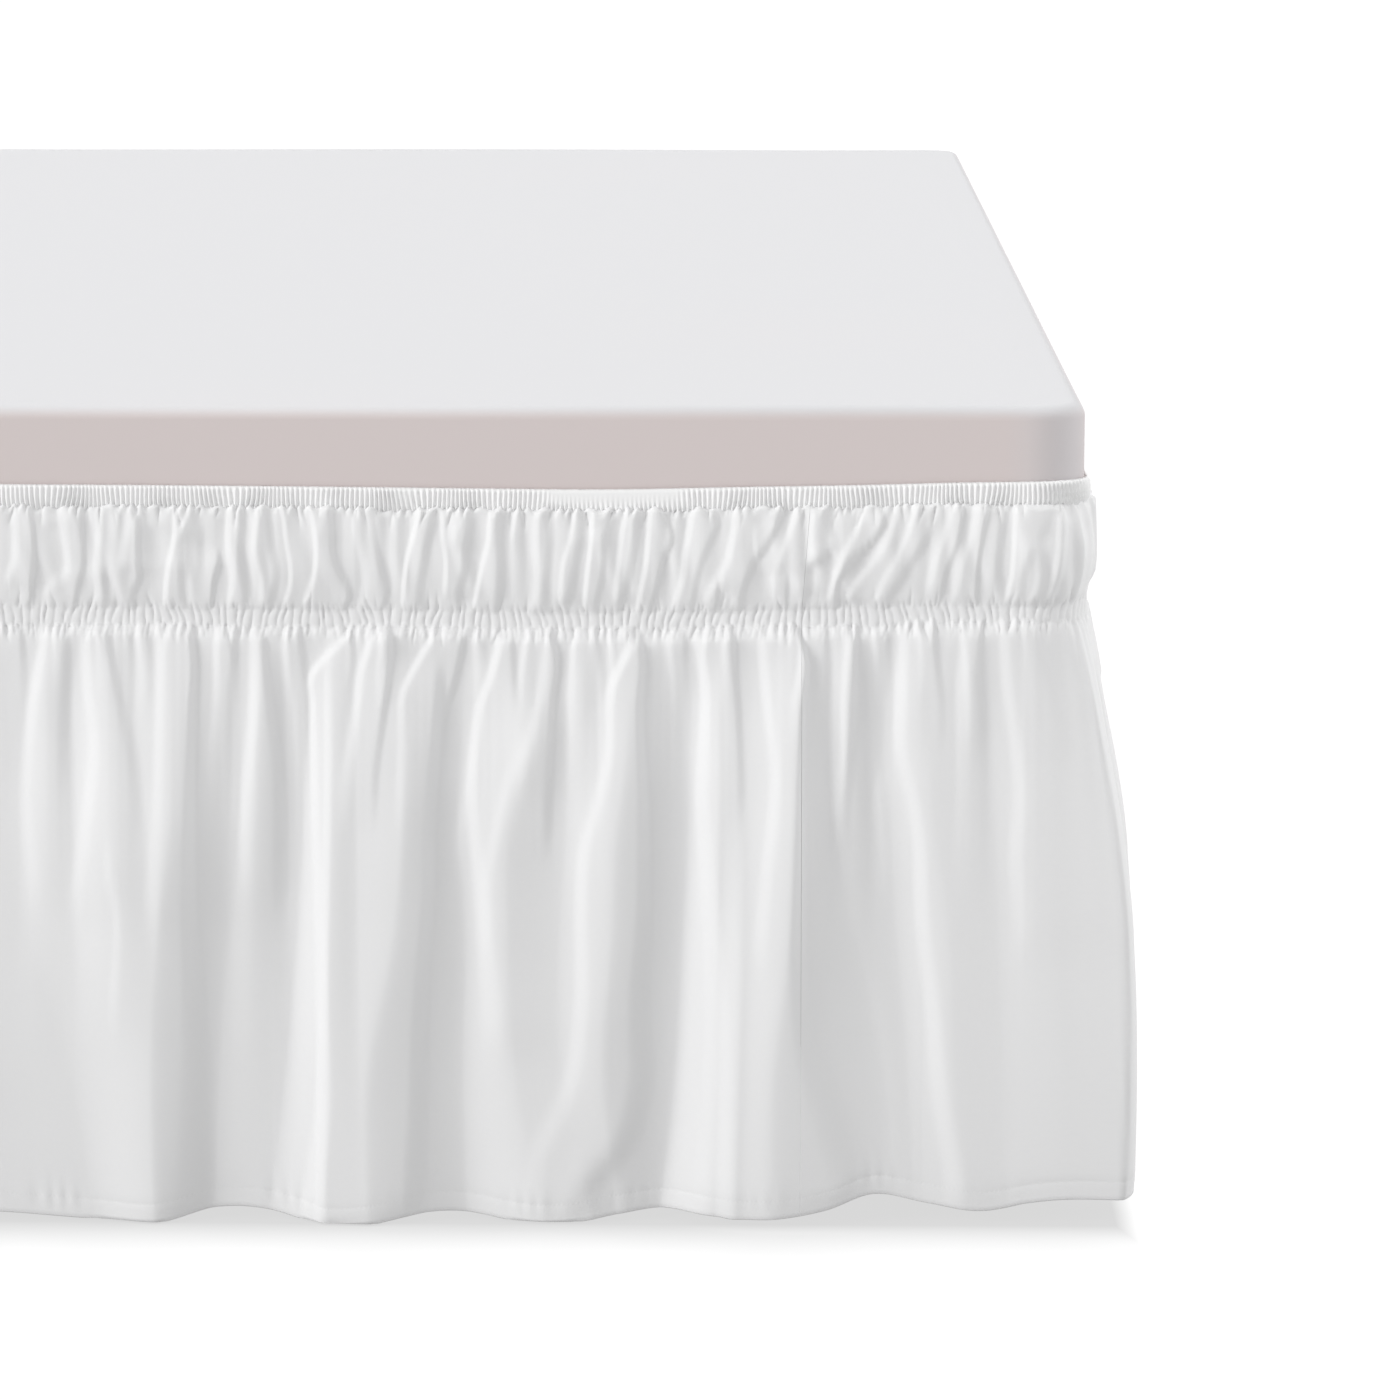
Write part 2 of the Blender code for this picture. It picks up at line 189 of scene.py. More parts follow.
class Crease(NamedTuple):
    """A line along which the cloth steps out or in, seen from left to right.

    All is in millimetres. line is its places in from the bed's right side with their heights, from
    the top down. The steps, less than 0 where the cloth steps in, and the widths are those at its
    top and at its foot. The cloth eases back from a step out to its right, and up to a step in on
    its left.
    """

    line: tuple[tuple[float, float], ...]
    step_above: float
    step_below: float
    width_above: float
    width_below: float
    ease: float


HEADING_LINES = (
    (1.7, ((585, 398), (584, 380), (585, 368), (589, 359))),
    (-2.3, ((577, 399), (575, 391), (574, 380), (574, 369), (576, 352), (575, 341))),
    (1.0, ((569, 398), (569, 391))),
    (1.7, ((559, 397), (558, 385), (556, 371), (558, 360), (566, 355), (569, 345))),
    (-1.7, ((548, 391), (547, 377), (547, 366), (551, 352), (552, 340))),
    (2.3, ((539, 399), (538, 388), (539, 377), (540, 366), (539, 358), (539, 348))),
    (1.0, ((538, 365), (532, 359), (528, 352), (526, 343))),
    (-1.7, ((536, 359), (535, 349), (537, 340))),
    (2.3, ((523, 399), (523, 388), (525, 377), (526, 368))),
    (-2.3, ((521, 399), (517, 391), (517, 380), (517, 369), (517, 358), (520, 352), (521, 343))),
    (1.0, ((509, 399), (510, 391))),
    (2.3, ((497, 399), (497, 385), (498, 377), (500, 369), (502, 358), (503, 345))),
    (1.7, ((488, 399), (491, 392), (495, 385))),
    (-1.0, ((486, 399), (486, 388))),
    (-1.0, ((483, 383), (483, 366))),
    (-1.7, ((494, 364), (494, 352), (493, 343))),
    (1.0, ((489, 359), (489, 345))),
    (-2.3, ((473, 367), (476, 358), (477, 350), (478, 340))),
    (1.7, ((467, 399), (468, 386), (468, 375), (466, 361), (468, 345))),
    (-1.7, ((461, 400), (460, 386), (461, 375), (460, 361), (458, 353), (460, 343))),
    (1.7, ((451, 399), (453, 386), (454, 375), (450, 361), (451, 345))),
    (-2.3, ((447, 400), (445, 386), (444, 375), (442, 367), (442, 358), (446, 345))),
    (1.7, ((438, 399), (436, 380), (434, 367), (434, 358), (437, 347))),
    (2.3, ((423, 400), (420, 378), (422, 358), (427, 346))),
    (1.0, ((414, 399), (419, 386))),
    (-2.3, ((412, 400), (411, 386), (411, 375), (406, 361), (402, 353), (406, 341))),
    (1.7, ((397, 400), (398, 386), (394, 370), (393, 359), (396, 345))),
    (-1.7, ((390, 398), (386, 372), (384, 364), (381, 356), (385, 341))),
    (2.3, ((363, 400), (366, 387), (370, 373), (372, 359), (373, 346))),
    (-2.3, ((356, 400), (356, 392), (359, 381), (361, 370), (363, 359), (364, 341))),
    (1.7, ((351, 400), (351, 384), (349, 370), (350, 355))),
    (1.7, ((339, 401), (343, 390), (346, 383))),
    (-2.3, ((337, 401), (336, 387), (338, 378), (339, 365), (342, 354), (343, 341))),
    (2.3, ((326, 401), (326, 381), (329, 370), (332, 356), (334, 346))),
    (-2.3, ((318, 401), (320, 387), (319, 370), (320, 354), (322, 343))),
    (1.0, ((311, 400), (313, 386))),
    (1.7, ((299, 401), (300, 382), (300, 354), (302, 343))),
    (-2.3, ((294, 401), (292, 387), (293, 370), (294, 354), (295, 342))),
    (1.7, ((279, 400), (281, 384), (285, 371), (287, 353))),
    (-2.3, ((276, 401), (275, 387), (277, 376), (279, 365), (281, 354), (284, 345))),
    (2.3, ((269, 401), (270, 382), (272, 365), (274, 347))),
    (-1.7, ((263, 382), (263, 373), (264, 362), (267, 349), (268, 339))),
    (-1.0, ((258, 400), (261, 384))),
    (1.7, ((250, 400), (253, 387), (255, 370), (257, 353))),
    (-2.3, ((245, 401), (245, 392), (246, 381), (248, 370), (250, 359), (254, 348), (255, 342))),
    (2.3, ((238, 400), (239, 381), (240, 370), (242, 359), (244, 348), (245, 341))),
    (-1.7, ((232, 400), (226, 381), (230, 373), (233, 362), (236, 351), (238, 344))),
    (2.3, ((215, 400), (217, 384), (219, 373), (220, 361), (223, 352), (225, 344))),
    (-1.7, ((204, 400), (201, 389), (205, 381), (209, 372), (212, 361), (214, 350), (217, 339))),
    (2.3, ((191, 399), (192, 386), (194, 378), (196, 369), (201, 361), (206, 353), (208, 342))),
    (1.7, ((199, 357), (194, 353), (193, 344), (195, 336))),
    (-1.7, ((201, 353), (202, 341))),
    (-2.3, ((165, 399), (173, 380), (181, 369), (187, 354), (188, 339))),
    (1.7, ((157, 399), (161, 388), (164, 380), (169, 369))),
    (2.3, ((150, 399), (151, 385), (151, 372))),
    (-2.3, ((142, 398), (141, 390), (138, 382), (137, 376), (145, 371), (150, 367), (151, 357),
            (152, 351), (155, 340))),
    (2.3, ((123, 399), (126, 384), (132, 374), (137, 362), (140, 350))),
    (-2.3, ((111, 389), (115, 381), (123, 373), (131, 365), (135, 358), (136, 345))),
    (2.3, ((103, 398), (108, 383), (113, 373), (123, 361), (130, 350))),
    (1.7, ((93, 398), (98, 383), (103, 371), (110, 359), (115, 347))),
    (-2.3, ((84, 397), (83, 391), (89, 377), (96, 367), (102, 357), (107, 349), (109, 338))),
    (1.7, ((75, 397), (77, 385), (82, 371), (86, 354))),
    (-1.7, ((67, 397), (71, 376), (77, 360), (79, 349), (81, 338))),
    (1.7, ((60, 396), (63, 382), (69, 365), (72, 349))),
    (-2.3, ((54, 396), (57, 381), (59, 365), (60, 342))),
    (1.0, ((51, 389), (53, 359))),
    (-1.7, ((45, 395), (47, 378), (48, 364), (46, 348), (47, 337))),
    (1.7, ((39, 396), (40, 375), (41, 359), (44, 345))),
    (-1.7, ((22, 395), (25, 383), (30, 372), (34, 361), (36, 347), (38, 338))),
    (1.7, ((18, 388), (21, 358), (23, 344))),
    (-2.3, ((14, 395), (15, 380), (17, 363), (19, 349), (20, 337))),
    (-1.0, ((10, 355), (10, 340))),
    (1.0, ((181, 383), (180, 368))),
    (1.9, ((170, 374), (162, 366), (159, 356))),
    (1.2, ((171, 357), (170, 346))),
    (-1.2, ((163, 356), (163, 345))),
    (1.2, ((157, 353), (156, 344))),
    (1.5, ((29, 372), (28, 358), (31, 344))),
    (-1.2, ((25, 372), (24, 358), (25, 343))),
    (1.4, ((9, 376), (8, 344))),
    (-1.5, ((4, 384), (4, 341))),
)

SKIRT_CREASES = (
    Crease(((569, 329), (576, 291), (580, 263), (582, 236), (577, 197)), 1.8, 1.0, 7, 12, 14),
    Crease(((547, 328), (546, 297), (542, 269), (546, 236), (550, 208), (554, 189)), 2.2, 1.4, 8, 11, 14),
    Crease(((505, 328), (506, 263), (507, 236), (509, 208), (511, 186)), 2.4, 1.2, 8, 11, 16),
    Crease(((454, 329), (454, 291), (457, 263), (460, 236), (461, 211)), 1.6, 0.8, 7, 9, 10),
    Crease(((402, 330), (415, 317), (423, 307), (423, 291), (422, 236), (420, 180), (419, 125),
            (419, 70), (422, 42), (426, 14)), 2.4, 4.4, 4.5, 15, 32),
    Crease(((389, 330), (395, 313), (398, 291), (403, 263), (406, 245)), 2.2, 1.2, 6, 9, 10),
    Crease(((357, 328), (366, 313), (372, 301), (373, 269), (374, 244)), 2.2, 1.2, 5, 9, 14),
    Crease(((320, 326), (325, 308), (331, 291), (335, 263), (336, 236), (333, 208), (329, 164),
            (325, 119)), 2.2, 2.2, 6, 16, 18),
    Crease(((295, 320), (298, 297), (304, 274), (315, 252), (323, 219), (328, 197),
            (328, 172)), 1.6, 1.2, 7, 9, 12),
    Crease(((280, 325), (281, 297), (282, 272)), 1.4, 0.6, 5, 7, 9),
    Crease(((249, 324), (259, 302), (260, 269), (266, 241), (274, 214), (276, 180), (276, 125),
            (285, 75), (301, 45)), 2.4, 1.6, 7, 14, 16),
    Crease(((212, 326), (208, 302), (209, 263), (210, 236), (207, 208), (205, 180), (203, 153),
            (201, 114), (202, 64), (204, 25)), 2.4, 4.6, 7, 24, 22),
    Crease(((177, 325), (174, 291), (169, 258), (170, 236), (173, 208), (177, 166)), 2.0, 1.4, 7, 10, 14),
    Crease(((154, 328), (156, 310), (159, 294)), 1.6, 1.2, 5, 6, 8),
    Crease(((130, 325), (132, 291), (133, 258), (136, 233)), 1.5, 0.5, 4.5, 6, 8),
    Crease(((100, 321), (101, 291), (101, 263), (94, 236), (90, 208), (89, 180), (87, 153), (83, 125),
            (78, 70), (70, 25)), 2.2, 2.2, 8, 15, 30),
    Crease(((67, 325), (64, 288)), 1.4, 1.0, 5, 6, 9),
    Crease(((45, 330), (42, 291), (37, 263), (35, 236), (37, 208), (34, 169)), 2.2, 1.2, 8, 12, 16),
    Crease(((535, 198), (531, 180), (531, 158), (534, 130)), 1.0, 0.8, 6, 8, 9),
    Crease(((557, 324), (558, 297), (560, 263)), -1.4, -0.8, 6, 8, 10),
    Crease(((535, 329), (532, 313), (528, 291), (521, 261), (519, 241)), -1.8, -0.8, 4.5, 8, 12),
    Crease(((489, 331), (487, 316), (488, 291), (489, 258), (490, 219), (491, 180), (490, 136),
            (489, 92), (490, 53), (491, 20)), -3.2, -3.8, 4.5, 24, 16),
    Crease(((449, 325), (446, 291), (442, 261), (441, 230), (442, 197)), -2.0, -1.8, 4.5, 11, 10),
    Crease(((429, 329), (426, 291), (426, 263)), -1.4, -0.8, 4, 5, 8),
    Crease(((379, 330), (381, 302), (384, 283), (388, 253)), -2.8, -1.4, 3.5, 5, 10),
    Crease(((339, 330), (346, 299), (354, 279)), -2.2, -1.4, 4.5, 6, 12),
    Crease(((353, 297), (356, 258), (359, 219), (359, 191), (362, 153), (365, 114), (366, 70),
            (368, 23)), -2.6, -3.4, 7, 15, 16),
    Crease(((291, 329), (289, 321), (291, 291), (293, 258), (294, 233)), -2.8, -1.6, 4, 6, 12),
    Crease(((313, 325), (311, 297), (309, 285)), -1.4, -0.8, 4.5, 6, 8),
    Crease(((244, 331), (242, 321), (243, 291), (241, 236), (241, 180), (244, 125), (244, 72),
            (255, 42), (274, 24)), -3.4, -3.4, 5, 22, 16),
    Crease(((192, 331), (192, 319), (190, 291), (188, 249)), -2.4, -1.2, 4, 6, 10),
    Crease(((157, 331), (152, 316), (154, 291), (155, 263), (156, 208), (156, 153), (150, 97),
            (140, 64), (127, 20)), -4.0, -3.8, 3, 26, 16),
    Crease(((125, 330), (126, 297), (128, 261), (130, 233)), -2.6, -1.6, 4, 7, 8),
    Crease(((83, 334), (82, 320), (78, 288)), -2.2, -0.8, 4, 6, 10),
    Crease(((57, 330), (58, 302), (56, 283)), -1.9, -0.8, 4.5, 6, 9),
    Crease(((29, 335), (25, 316), (20, 294), (15, 279)), -2.2, -0.8, 4, 7, 12),
    Crease(((208, 329), (209, 319)), 1.4, 1.0, 4, 4, 6),
    Crease(((467, 324), (464, 309)), -1.2, -0.6, 4, 5, 7),
    Crease(((266, 328), (264, 309)), -1.4, -0.6, 4, 5, 7),
    Crease(((336, 258), (344, 219)), 0.8, 0.8, 6, 8, 8),
    Crease(((113, 236), (110, 202)), 0.8, 0.6, 6, 8, 9),
    Crease(((582, 330), (581, 305)), -1.6, -0.8, 4, 6, 8),
    Crease(((564, 328), (563, 312)), 1.0, 0.5, 4, 5, 6),
    Crease(((540, 329), (539, 311)), 1.2, 0.6, 4, 5, 6),
    Crease(((522, 328), (521, 312)), -1.0, -0.5, 4, 5, 6),
    Crease(((518, 328), (516, 306)), 1.3, 0.6, 4, 6, 7),
    Crease(((512, 329), (511, 310)), -1.2, -0.6, 4, 5, 6),
    Crease(((475, 329), (476, 290), (479, 262)), 1.7, 0.8, 5, 8, 8),
    Crease(((464, 330), (467, 300), (468, 275)), -1.5, -0.6, 4.5, 7, 8),
    Crease(((438, 329), (436, 300), (434, 282)), 1.7, 0.8, 5, 7, 8),
    Crease(((401, 330), (400, 316), (402, 300)), -1.4, -0.8, 4, 6, 8),
    Crease(((384, 329), (386, 312)), 1.4, 0.6, 4, 5, 6),
    Crease(((334, 328), (333, 312)), 1.1, 0.5, 4, 5, 6),
    Crease(((329, 329), (328, 314)), -1.1, -0.5, 4, 5, 6),
    Crease(((306, 329), (309, 300), (309, 262)), 1.6, 1.0, 5, 8, 9),
    Crease(((260, 328), (258, 300)), 1.3, 0.6, 4, 6, 7),
    Crease(((228, 328), (226, 300)), 1.6, 0.5, 5, 7, 9),
    Crease(((219, 329), (218, 312)), -1.4, -0.6, 4, 5, 7),
    Crease(((198, 328), (197, 306)), 1.5, 0.5, 4, 6, 7),
    Crease(((142, 329), (141, 312)), -1.2, -0.6, 4, 5, 6),
    Crease(((116, 328), (114, 306)), 1.4, 0.5, 4, 6, 7),
    Crease(((108, 329), (107, 312)), -1.1, -0.5, 4, 5, 6),
    Crease(((91, 329), (90, 308)), 1.0, 0.5, 4, 5, 6),
    Crease(((33, 329), (31, 300)), 1.5, 0.6, 5, 7, 7),
    Crease(((15, 329), (10, 300)), 1.5, 0.8, 5, 8, 9),
)


class Rise(NamedTuple):
    """How much higher than usual a line of the skirt hangs at a place in from the right side."""

    place: float
    more: float


TOP_LINE = (
    Rise(-0.120, 0.0004), Rise(-0.030, 0.0012), Rise(0.010, 0.0024), Rise(0.060, 0.0021),
    Rise(0.128, 0.0004), Rise(0.183, -0.0006), Rise(0.266, -0.0022), Rise(0.330, -0.0018),
    Rise(0.402, -0.0011), Rise(0.500, -0.0004), Rise(0.592, 0.0000),
)
HEM_LINE = (
    Rise(-0.120, 0.0060), Rise(-0.020, 0.0108), Rise(0.015, 0.0082), Rise(0.055, 0.0006),
    Rise(0.085, 0.0052), Rise(0.116, 0.0118), Rise(0.140, 0.0058), Rise(0.184, 0.0022),
    Rise(0.242, 0.0030), Rise(0.300, -0.0025), Rise(0.361, 0.0026), Rise(0.417, -0.0043),
    Rise(0.467, 0.0024), Rise(0.517, -0.0034), Rise(0.600, 0.0000),
)


def swing(index: Points | float, channel: float) -> Points | float:
    """Return an uneven number from -1 to 1, the same on each run.

    Args:
        index: which of a row of like things it is for.
        channel: which of their properties it is for.

    Returns:
        The number, or one for each index.
    """
    return np.sin(index * 2.399 + channel * 1.7 + np.sin(index * 1.31 + channel))


def uneven(size: tuple[float, float], index: Points | float, channel: float) -> Points | float:
    """Return a usual size made uneven.

    Args:
        size: the usual size, and by how much it may be more or less.
        index: which of a row of like things it is for.
        channel: which of their properties it is for.

    Returns:
        The size, or one for each index.
    """
    return size[0] + size[1] * swing(index, channel)


def portion(value: Points | float, whole: Points | float) -> Points:
    """Return a value's share of a whole, held between 0 and 1."""
    return np.clip(value / whole, 0.0, 1.0)


def smooth(share: Points) -> Points:
    """Ease a share from 0 to 1 at both ends."""
    held = np.clip(share, 0.0, 1.0)
    return held * held * (3 - 2 * held)


def fading(distance: Points, reach: Points | float) -> Points:
    """Fall from 1 towards 0 with a distance, to about a third at the reach."""
    return np.exp(-distance / reach)


def beside(distance: Points, reach: Points | float) -> Points:
    """Fall from 1 to 0 on both sides of a place, to about a third at the reach."""
    return np.exp(-((distance / reach) ** 2))


def swaying(size: tuple[float, float, float], along: Points) -> Points:
    """Return a size that sways along the cloth: the usual size, by how much, and how fast."""
    usual, more, pace = size
    return usual + more * np.sin(along * pace)


@dataclass(frozen=True)
class Wave:
    """A wave whose crests are unevenly far apart.

    pace and bend_pace are how fast it and its unevenness turn, in radians for each metre, and
    bend is how far its crests wander, in radians.
    """

    pace: float
    bend: float
    bend_pace: float

    def at(self, along: Points, turn: Points | float = 0.0) -> Points:
        """Read the wave.

        Args:
            along: distances round the bed.
            turn: how far it is turned on, in radians.

        Returns:
            A number from -1 to 1 for each distance.
        """
        return np.sin(self.pace * along + self.bend * np.sin(self.bend_pace * along) + turn)


def between(places: Points | float, knots: Points) -> tuple[Points, Points]:
    """Find the two knots that each place is between.

    Args:
        places: the places.
        knots: the knots, rising.

    Returns:
        The number of the first of the two, and the share of the way to the second.
    """
    slot = np.clip(np.searchsorted(knots, places) - 1, 0, len(knots) - 2)
    span = np.maximum(knots[slot + 1] - knots[slot], LEAST_SPAN)
    return slot, portion(places - knots[slot], span)


def through(
    places: Points | float, knots: Sequence[float], values: Any, held: bool = True
) -> Points:
    """Read a smooth curve through a table's values.

    Args:
        places: where to read it.
        knots: the places of the values, rising.
        values: the table's values, or a row of values for each knot.
        held: whether the curve is level past both ends, and doesn't run on.

    Returns:
        The curve at each place.
    """
    knots, values = np.asarray(knots, float), np.asarray(values, float)
    slopes = np.gradient(values, knots, axis=0)
    slot = np.clip(np.searchsorted(knots, places) - 1, 0, len(knots) - 2)
    span = knots[slot + 1] - knots[slot]
    s = (places - knots[slot]) / span
    if held:
        s = np.clip(s, 0.0, 1.0)
    near = values[slot] * (1 + 2 * s) + slopes[slot] * span * s
    far = values[slot + 1] * (3 - 2 * s) + slopes[slot + 1] * span * (s - 1)
    return near * (1 - s) ** 2 + far * s**2


@dataclass(frozen=True)
class BedOutline:
    """The rounded rectangle of the mattress side, seen from above."""

    half_width: float
    half_length: float
    corner: float

    @property
    def face_width(self) -> float:
        """Half the straight part of the foot."""
        return self.half_width - self.corner

    @property
    def face_length(self) -> float:
        """Half the straight part of a side."""
        return self.half_length - self.corner

    @property
    def arc(self) -> float:
        """The way round one corner."""
        return self.corner * math.pi / 2

    @property
    def round(self) -> float:
        """The whole way round."""
        return 4 * (self.face_width + self.face_length + self.arc)

    @property
    def corner_crest(self) -> float:
        """The distance from the middle of the foot to the middle of its right corner."""
        return self.face_width + self.arc / 2

    def place(self, along: Points) -> tuple[Points, Points]:
        """Find points of the mattress side.

        Args:
            along: distances round the bed.

        Returns:
            The points and the outward directions there, one row of x and y each.
        """
        wide, long, arc = self.face_width, self.face_length, self.arc
        runs = (wide, arc, 2 * long, arc, 2 * wide, arc, 2 * long, arc, wide)
        stops = np.concatenate(([0.0], np.cumsum(runs)))
        x = (0.0, wide, wide, wide, wide, -wide, -wide, -wide, -wide, 0.0)
        y = (-long, -long, -long, long, long, long, long, -long, -long, -long)
        turns = np.radians((-90, -90, 0, 0, 90, 90, 180, 180, 270, 270))
        around = np.mod(along, self.round)
        angle = np.interp(around, stops, turns)
        out = np.stack((np.cos(angle), np.sin(angle)), axis=-1)
        centre = np.stack((np.interp(around, stops, x), np.interp(around, stops, y)), axis=-1)
        return centre + out * self.corner, out

    def turned(self, along: Points) -> Points:
        """Return how far round its corner each point is, as an angle from the foot or the head.

        Args:
            along: distances round the bed.

        Returns:
            The angles, from 0 on the foot and the head to a right angle on the sides.
        """
        half = self.round / 2
        around = np.mod(along, half)
        past = np.minimum(around, half - around) - self.face_width
        return np.clip(past / self.corner, 0.0, math.pi / 2)

    def at_corner(self, along: Points, reach: float) -> Points:
        """Return 1 at the corners, fading to 0 on both sides.

        Args:
            along: distances round the bed.
            reach: how far from a corner it has mostly faded.

        Returns:
            The share at each distance.
        """
        half = self.round / 2
        around = np.mod(along, half)
        first, second = np.abs(around - self.corner_crest), np.abs(around - half + self.corner_crest)
        return beside(np.minimum(first, second), reach)


BED = BedOutline(MATTRESS_BOX[1].x, MATTRESS_BOX[1].y, 0.032)
SEAM = BED.half_width - SEAM_FROM_SIDE
HALF = BED.round / 2

# The stretch of finer cloth, as distances round the bed
DETAIL_START = 0.150
DETAIL_END = 0.835

# How far a row of grooves runs on past both ends of the way round
OVERLAP = 0.2

# Where the tables of the hanging lines hold, in from the right side, and how they fade in and out
LINES_FROM = -0.24
LINES_FADE_IN = 0.12
LINES_TO = 0.66
LINES_FADE_OUT = 0.06


def from_right(along: Points) -> Points:
    """Return how far in from the bed's right side each distance round the bed is."""
    return BED.half_width - (np.mod(along + HALF, BED.round) - HALF)


def hanging_line(seen: Points, line: Sequence[Rise]) -> Points:
    """Read a hanging line's table at places in from the right side."""
    places, more = zip(*line)
    return through(seen, places, more)


def lines_hold(seen: Points) -> Points:
    """Return 1 at places in from the right side where the hanging lines' tables hold, else 0."""
    return portion(LINES_TO - seen, LINES_FADE_OUT) * portion(seen - LINES_FROM, LINES_FADE_IN)


@dataclass(frozen=True)
class Relief:
    """Troughs and crests side by side round the bed, at several heights.

    Going anticlockwise, the cloth climbs in the middle of a flank, and falls early in one.
    """

    EVEN = 0.25
    EARLY = 1.6
    CREST = 0.16
    ROUNDING = 0.8

    heights: tuple[float, ...]
    places: Points
    stands: Points

    def rise(self, along: Points, height: Points) -> Points:
        """Return how far the relief lifts the cloth.

        Args:
            along: distances round the bed.
            height: a height for each.

        Returns:
            The lift at each point.
        """
        lift = np.zeros_like(along)
        for level in np.unique(height):
            here = height == level
            knots = np.maximum.accumulate(through(level, self.heights, self.places, held=False))
            stands = through(level, self.heights, self.stands, held=False)
            slot, s = between(along[here], knots)
            climb = self.EVEN * s + (1 - self.EVEN) * smooth(s)
            late = s * s * (1 + self.CREST) / (s + self.CREST)
            fall = 1 - (1 - late) ** self.EARLY * (1 + (self.EARLY - 1) * late * self.ROUNDING)
            step = stands[slot + 1] - stands[slot]
            lift[here] = stands[slot] + step * np.where(step > 0, climb, fall)
        return lift


def table_folds() -> Relief:
    """Return the large folds of the table, as distances round the bed."""
    places = [[BED.half_width - MM * place for place in knot.places[::-1]] for knot in LARGE_FOLDS]
    stands = [[MM * stand for stand in knot.stands[::-1]] for knot in LARGE_FOLDS]
    return Relief(KNOT_LEVELS, np.array(places).T, np.array(stands).T)


@dataclass(frozen=True)
class Creases:
    """A set of creases, which fade out past their ends."""

    WIDENING = 1.6
    EASING = 1.5

    rows: tuple[Crease, ...]
    fade_above: float
    fade_below: float

    def rise(self, along: Points, height: Points) -> Points:
        """Return how far the creases lift the cloth.

        Args:
            along: distances round the bed.
            height: a height for each.

        Returns:
            The lift at each point.
        """
        total = np.zeros_like(along)
        for row in self.rows:
            places = BED.half_width - MM * np.array([place for place, _ in row.line[::-1]])
            heights = MM * np.array([level for _, level in row.line[::-1]])
            foot, head = heights[0], heights[-1]
            reach = MM * (4 * row.ease + row.width_below)
            near = np.flatnonzero(
                (along > places.min() - reach) & (along < places.max() + reach)
                & (height > foot - self.fade_below) & (height < head + self.fade_above)
            )
            if not len(near):
                continue
            at = height[near]
            down = portion(head - at, head - foot)
            step = row.step_above + (row.step_below - row.step_above) * down
            width = row.width_above + (row.width_below - row.width_above) * down**self.WIDENING
            past = (along[near] - through(at, heights, places)) / MM * math.copysign(1.0, row.step_above)
            eased = np.exp(-((np.maximum(past, 0.0) / (2 * row.ease)) ** self.EASING))
            ends = smooth(1 - (at - head) / self.fade_above) * smooth(1 - (foot - at) / self.fade_below)
            total[near] += MM * np.abs(step) * ends * (smooth(past / width + 0.5) * eased)
        return total


def split_creases(
    rows: list[Crease], reaching: float, fades: tuple[float, float], fade_below: float
) -> tuple[Creases, Creases]:
    """Split creases into those that reach a gathered edge and those that start in the free cloth.

    Args:
        rows: the creases.
        reaching: the height, in millimetres, that the first kind starts above.
        fades: how far above their starts each kind fades in.
        fade_below: how far below their ends they fade out.

    Returns:
        The two sets.
    """
    high = tuple(row for row in rows if row.line[0][1] > reaching)
    low = tuple(row for row in rows if row.line[0][1] <= reaching)
    return Creases(high, fades[0], fade_below), Creases(low, fades[1], fade_below)


def heading_creases() -> list[Crease]:
    """Return the creases of the heading's table, some sharper and some softer."""
    made = []
    for index, (step, line) in enumerate(HEADING_LINES):
        width = uneven(HEADING_WIDTH, index, 12)
        size = HEADING_SHOWN * step
        made.append(Crease(line, size, size, width, width, uneven(HEADING_EASE, index, 13)))
    return made


